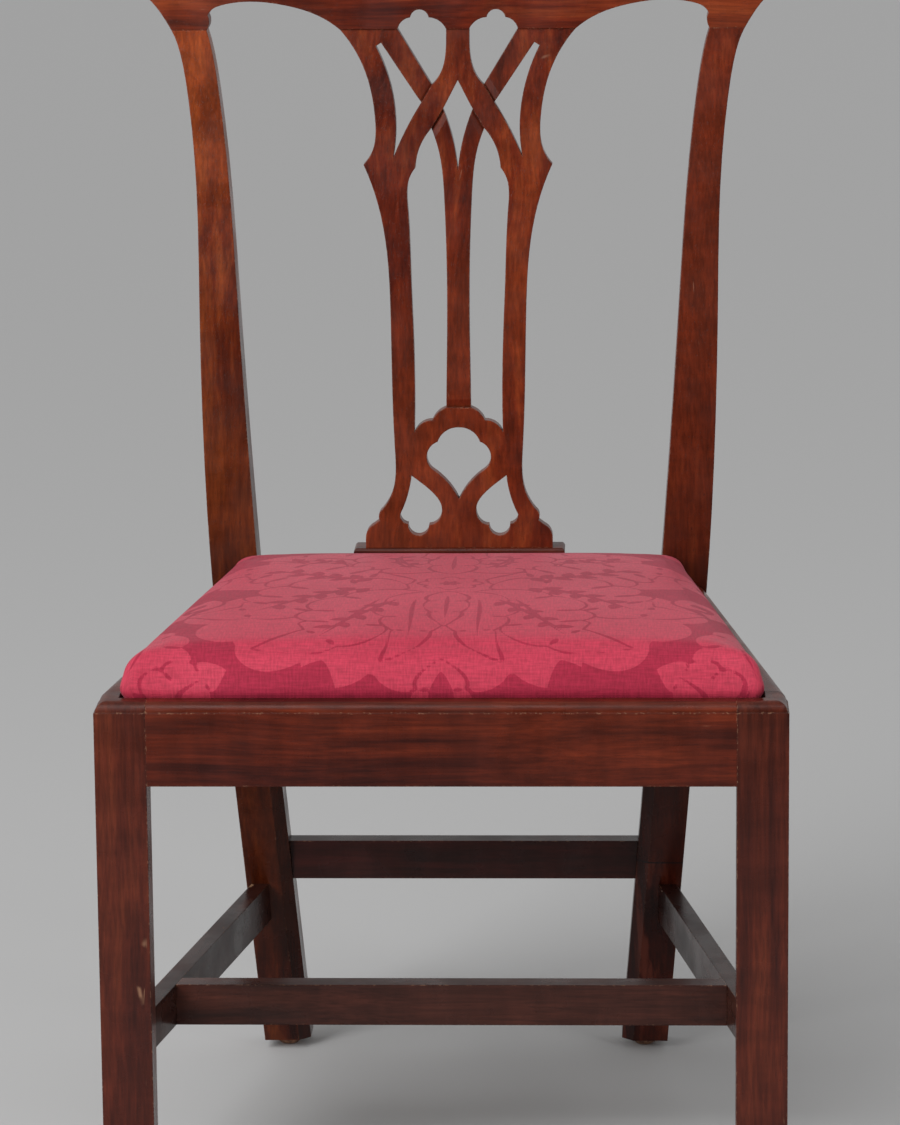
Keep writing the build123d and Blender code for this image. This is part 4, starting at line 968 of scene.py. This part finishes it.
lengthwise = cloth_grid(
    "webbing_straps_lengthwise",
    [strap_rows(x, long_low.y, long_high.y, "Y", flat_straps) for x in places],
    webbing_thickness,
    jute,
)
crosswise_spans = [(y, seat_side_x(y) - strap_end_inset) for y in (cross_middle + place for place in places)]
crosswise = cloth_grid(
    "webbing_straps_crosswise",
    [strap_rows(y, -reach, reach, "X", over_straps) for y, reach in crosswise_spans],
    webbing_thickness,
    jute,
)
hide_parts("webbing_lengthwise")
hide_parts("webbing_crosswise")

base_inset = base_low.y - cover_low.y
base_plan = coons_patch(seat_ring(base_inset))
base_z = base_low.z - sag(base_plan[..., 0], base_plan[..., 1])
base_flat = np.dstack([base_plan[..., 0], base_plan[..., 1], np.zeros(base_z.shape)])
base_cloth = cloth_grid(
    "base_cloth_sheet", [(np.dstack([base_plan, base_z]), base_flat)], base_high.z - base_low.z, linen
)
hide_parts("base_cloth")


# Stage: wide grey paper under and behind the chair, and a studio that is dark behind the camera
def stage():
    corners = [(floor_half * x, floor_half * y, 0) for x, y in ((-1, -1), (1, -1), (1, 1), (-1, 1))]
    floor = mesh_piece("floor", corners, [(0, 1, 2, 3)])
    material, tree, shader = new_material("backdrop")
    place = node(tree, "TexCoord").outputs["Object"]
    y = node(tree, "SeparateXYZ", {0: place}).outputs["Y"]
    shade = between(tree, y, *backdrop_drift, backdrop_grey, backdrop_far_grey)
    paper = between(tree, y, paper_front_y - paper_fade, paper_front_y)
    colour = mix(tree, paper, (studio_floor_grey,) * 3, grey(tree, shade))
    tree.links.new(colour, shader.inputs["Base Color"])
    shader.inputs["Roughness"].default_value = 0.9
    shader.inputs["Specular IOR Level"].default_value = 0.1
    paint(floor, material)

    world = bpy.data.worlds.new("studio")
    world.use_nodes = True
    scene.world = world
    tree = world.node_tree
    sky = tree.nodes["Background"]
    sky.inputs["Color"].default_value = (1, 1, 1, 1)
    towards = node(tree, "SeparateXYZ", {0: node(tree, "TexCoord").outputs["Generated"]})
    front = between(tree, towards.outputs["Y"], -0.75, -0.2, 1.0, 0.0)
    low = between(tree, towards.outputs["Z"], 0.2, 0.6, 1.0, 0.0)
    dark = times(tree, front, low)
    strength = between(tree, dark, 0.0, 1.0, world_light, world_front_share * world_light)
    tree.links.new(strength, sky.inputs["Strength"])


def lamp(name, kind, place, **settings):
    light = bpy.data.lights.new(name, kind)
    for key, value in settings.items():
        setattr(light, key, value)
    made = bpy.data.objects.new(name, light)
    scene.collection.objects.link(made)
    made.location = place
    made.rotation_mode = "QUATERNION"
    made.rotation_quaternion = (lit_middle - Vector(place)).to_track_quat("-Z", "Y")


def lights():
    lamp("key", "SUN", lit_middle + key_direction, energy=key_strength, angle=key_softness)
    for name, (place, watts, width, height) in softboxes.items():
        lamp(name, "AREA", place, energy=watts, shape="RECTANGLE", size=width, size_y=height)


def camera():
    view = bpy.data.cameras.new("camera")
    view.sensor_fit = "VERTICAL"
    view.sensor_height = sensor_height
    view.lens = focal_share * sensor_height
    made = bpy.data.objects.new("camera", view)
    scene.collection.objects.link(made)
    right = Vector((cos(camera_turn), sin(camera_turn), 0))
    ahead = Vector((-sin(camera_turn), cos(camera_turn), 0))
    forward = ahead * cos(camera_down) - Vector((0, 0, sin(camera_down)))
    up = right.cross(forward)
    across = cos(camera_roll) * right - sin(camera_roll) * up
    upward = sin(camera_roll) * right + cos(camera_roll) * up
    turned = Matrix((across, upward, -forward)).transposed()
    made.matrix_world = Matrix.Translation(camera_place) @ turned.to_4x4()
    scene.camera = made


stage()
lights()
camera()
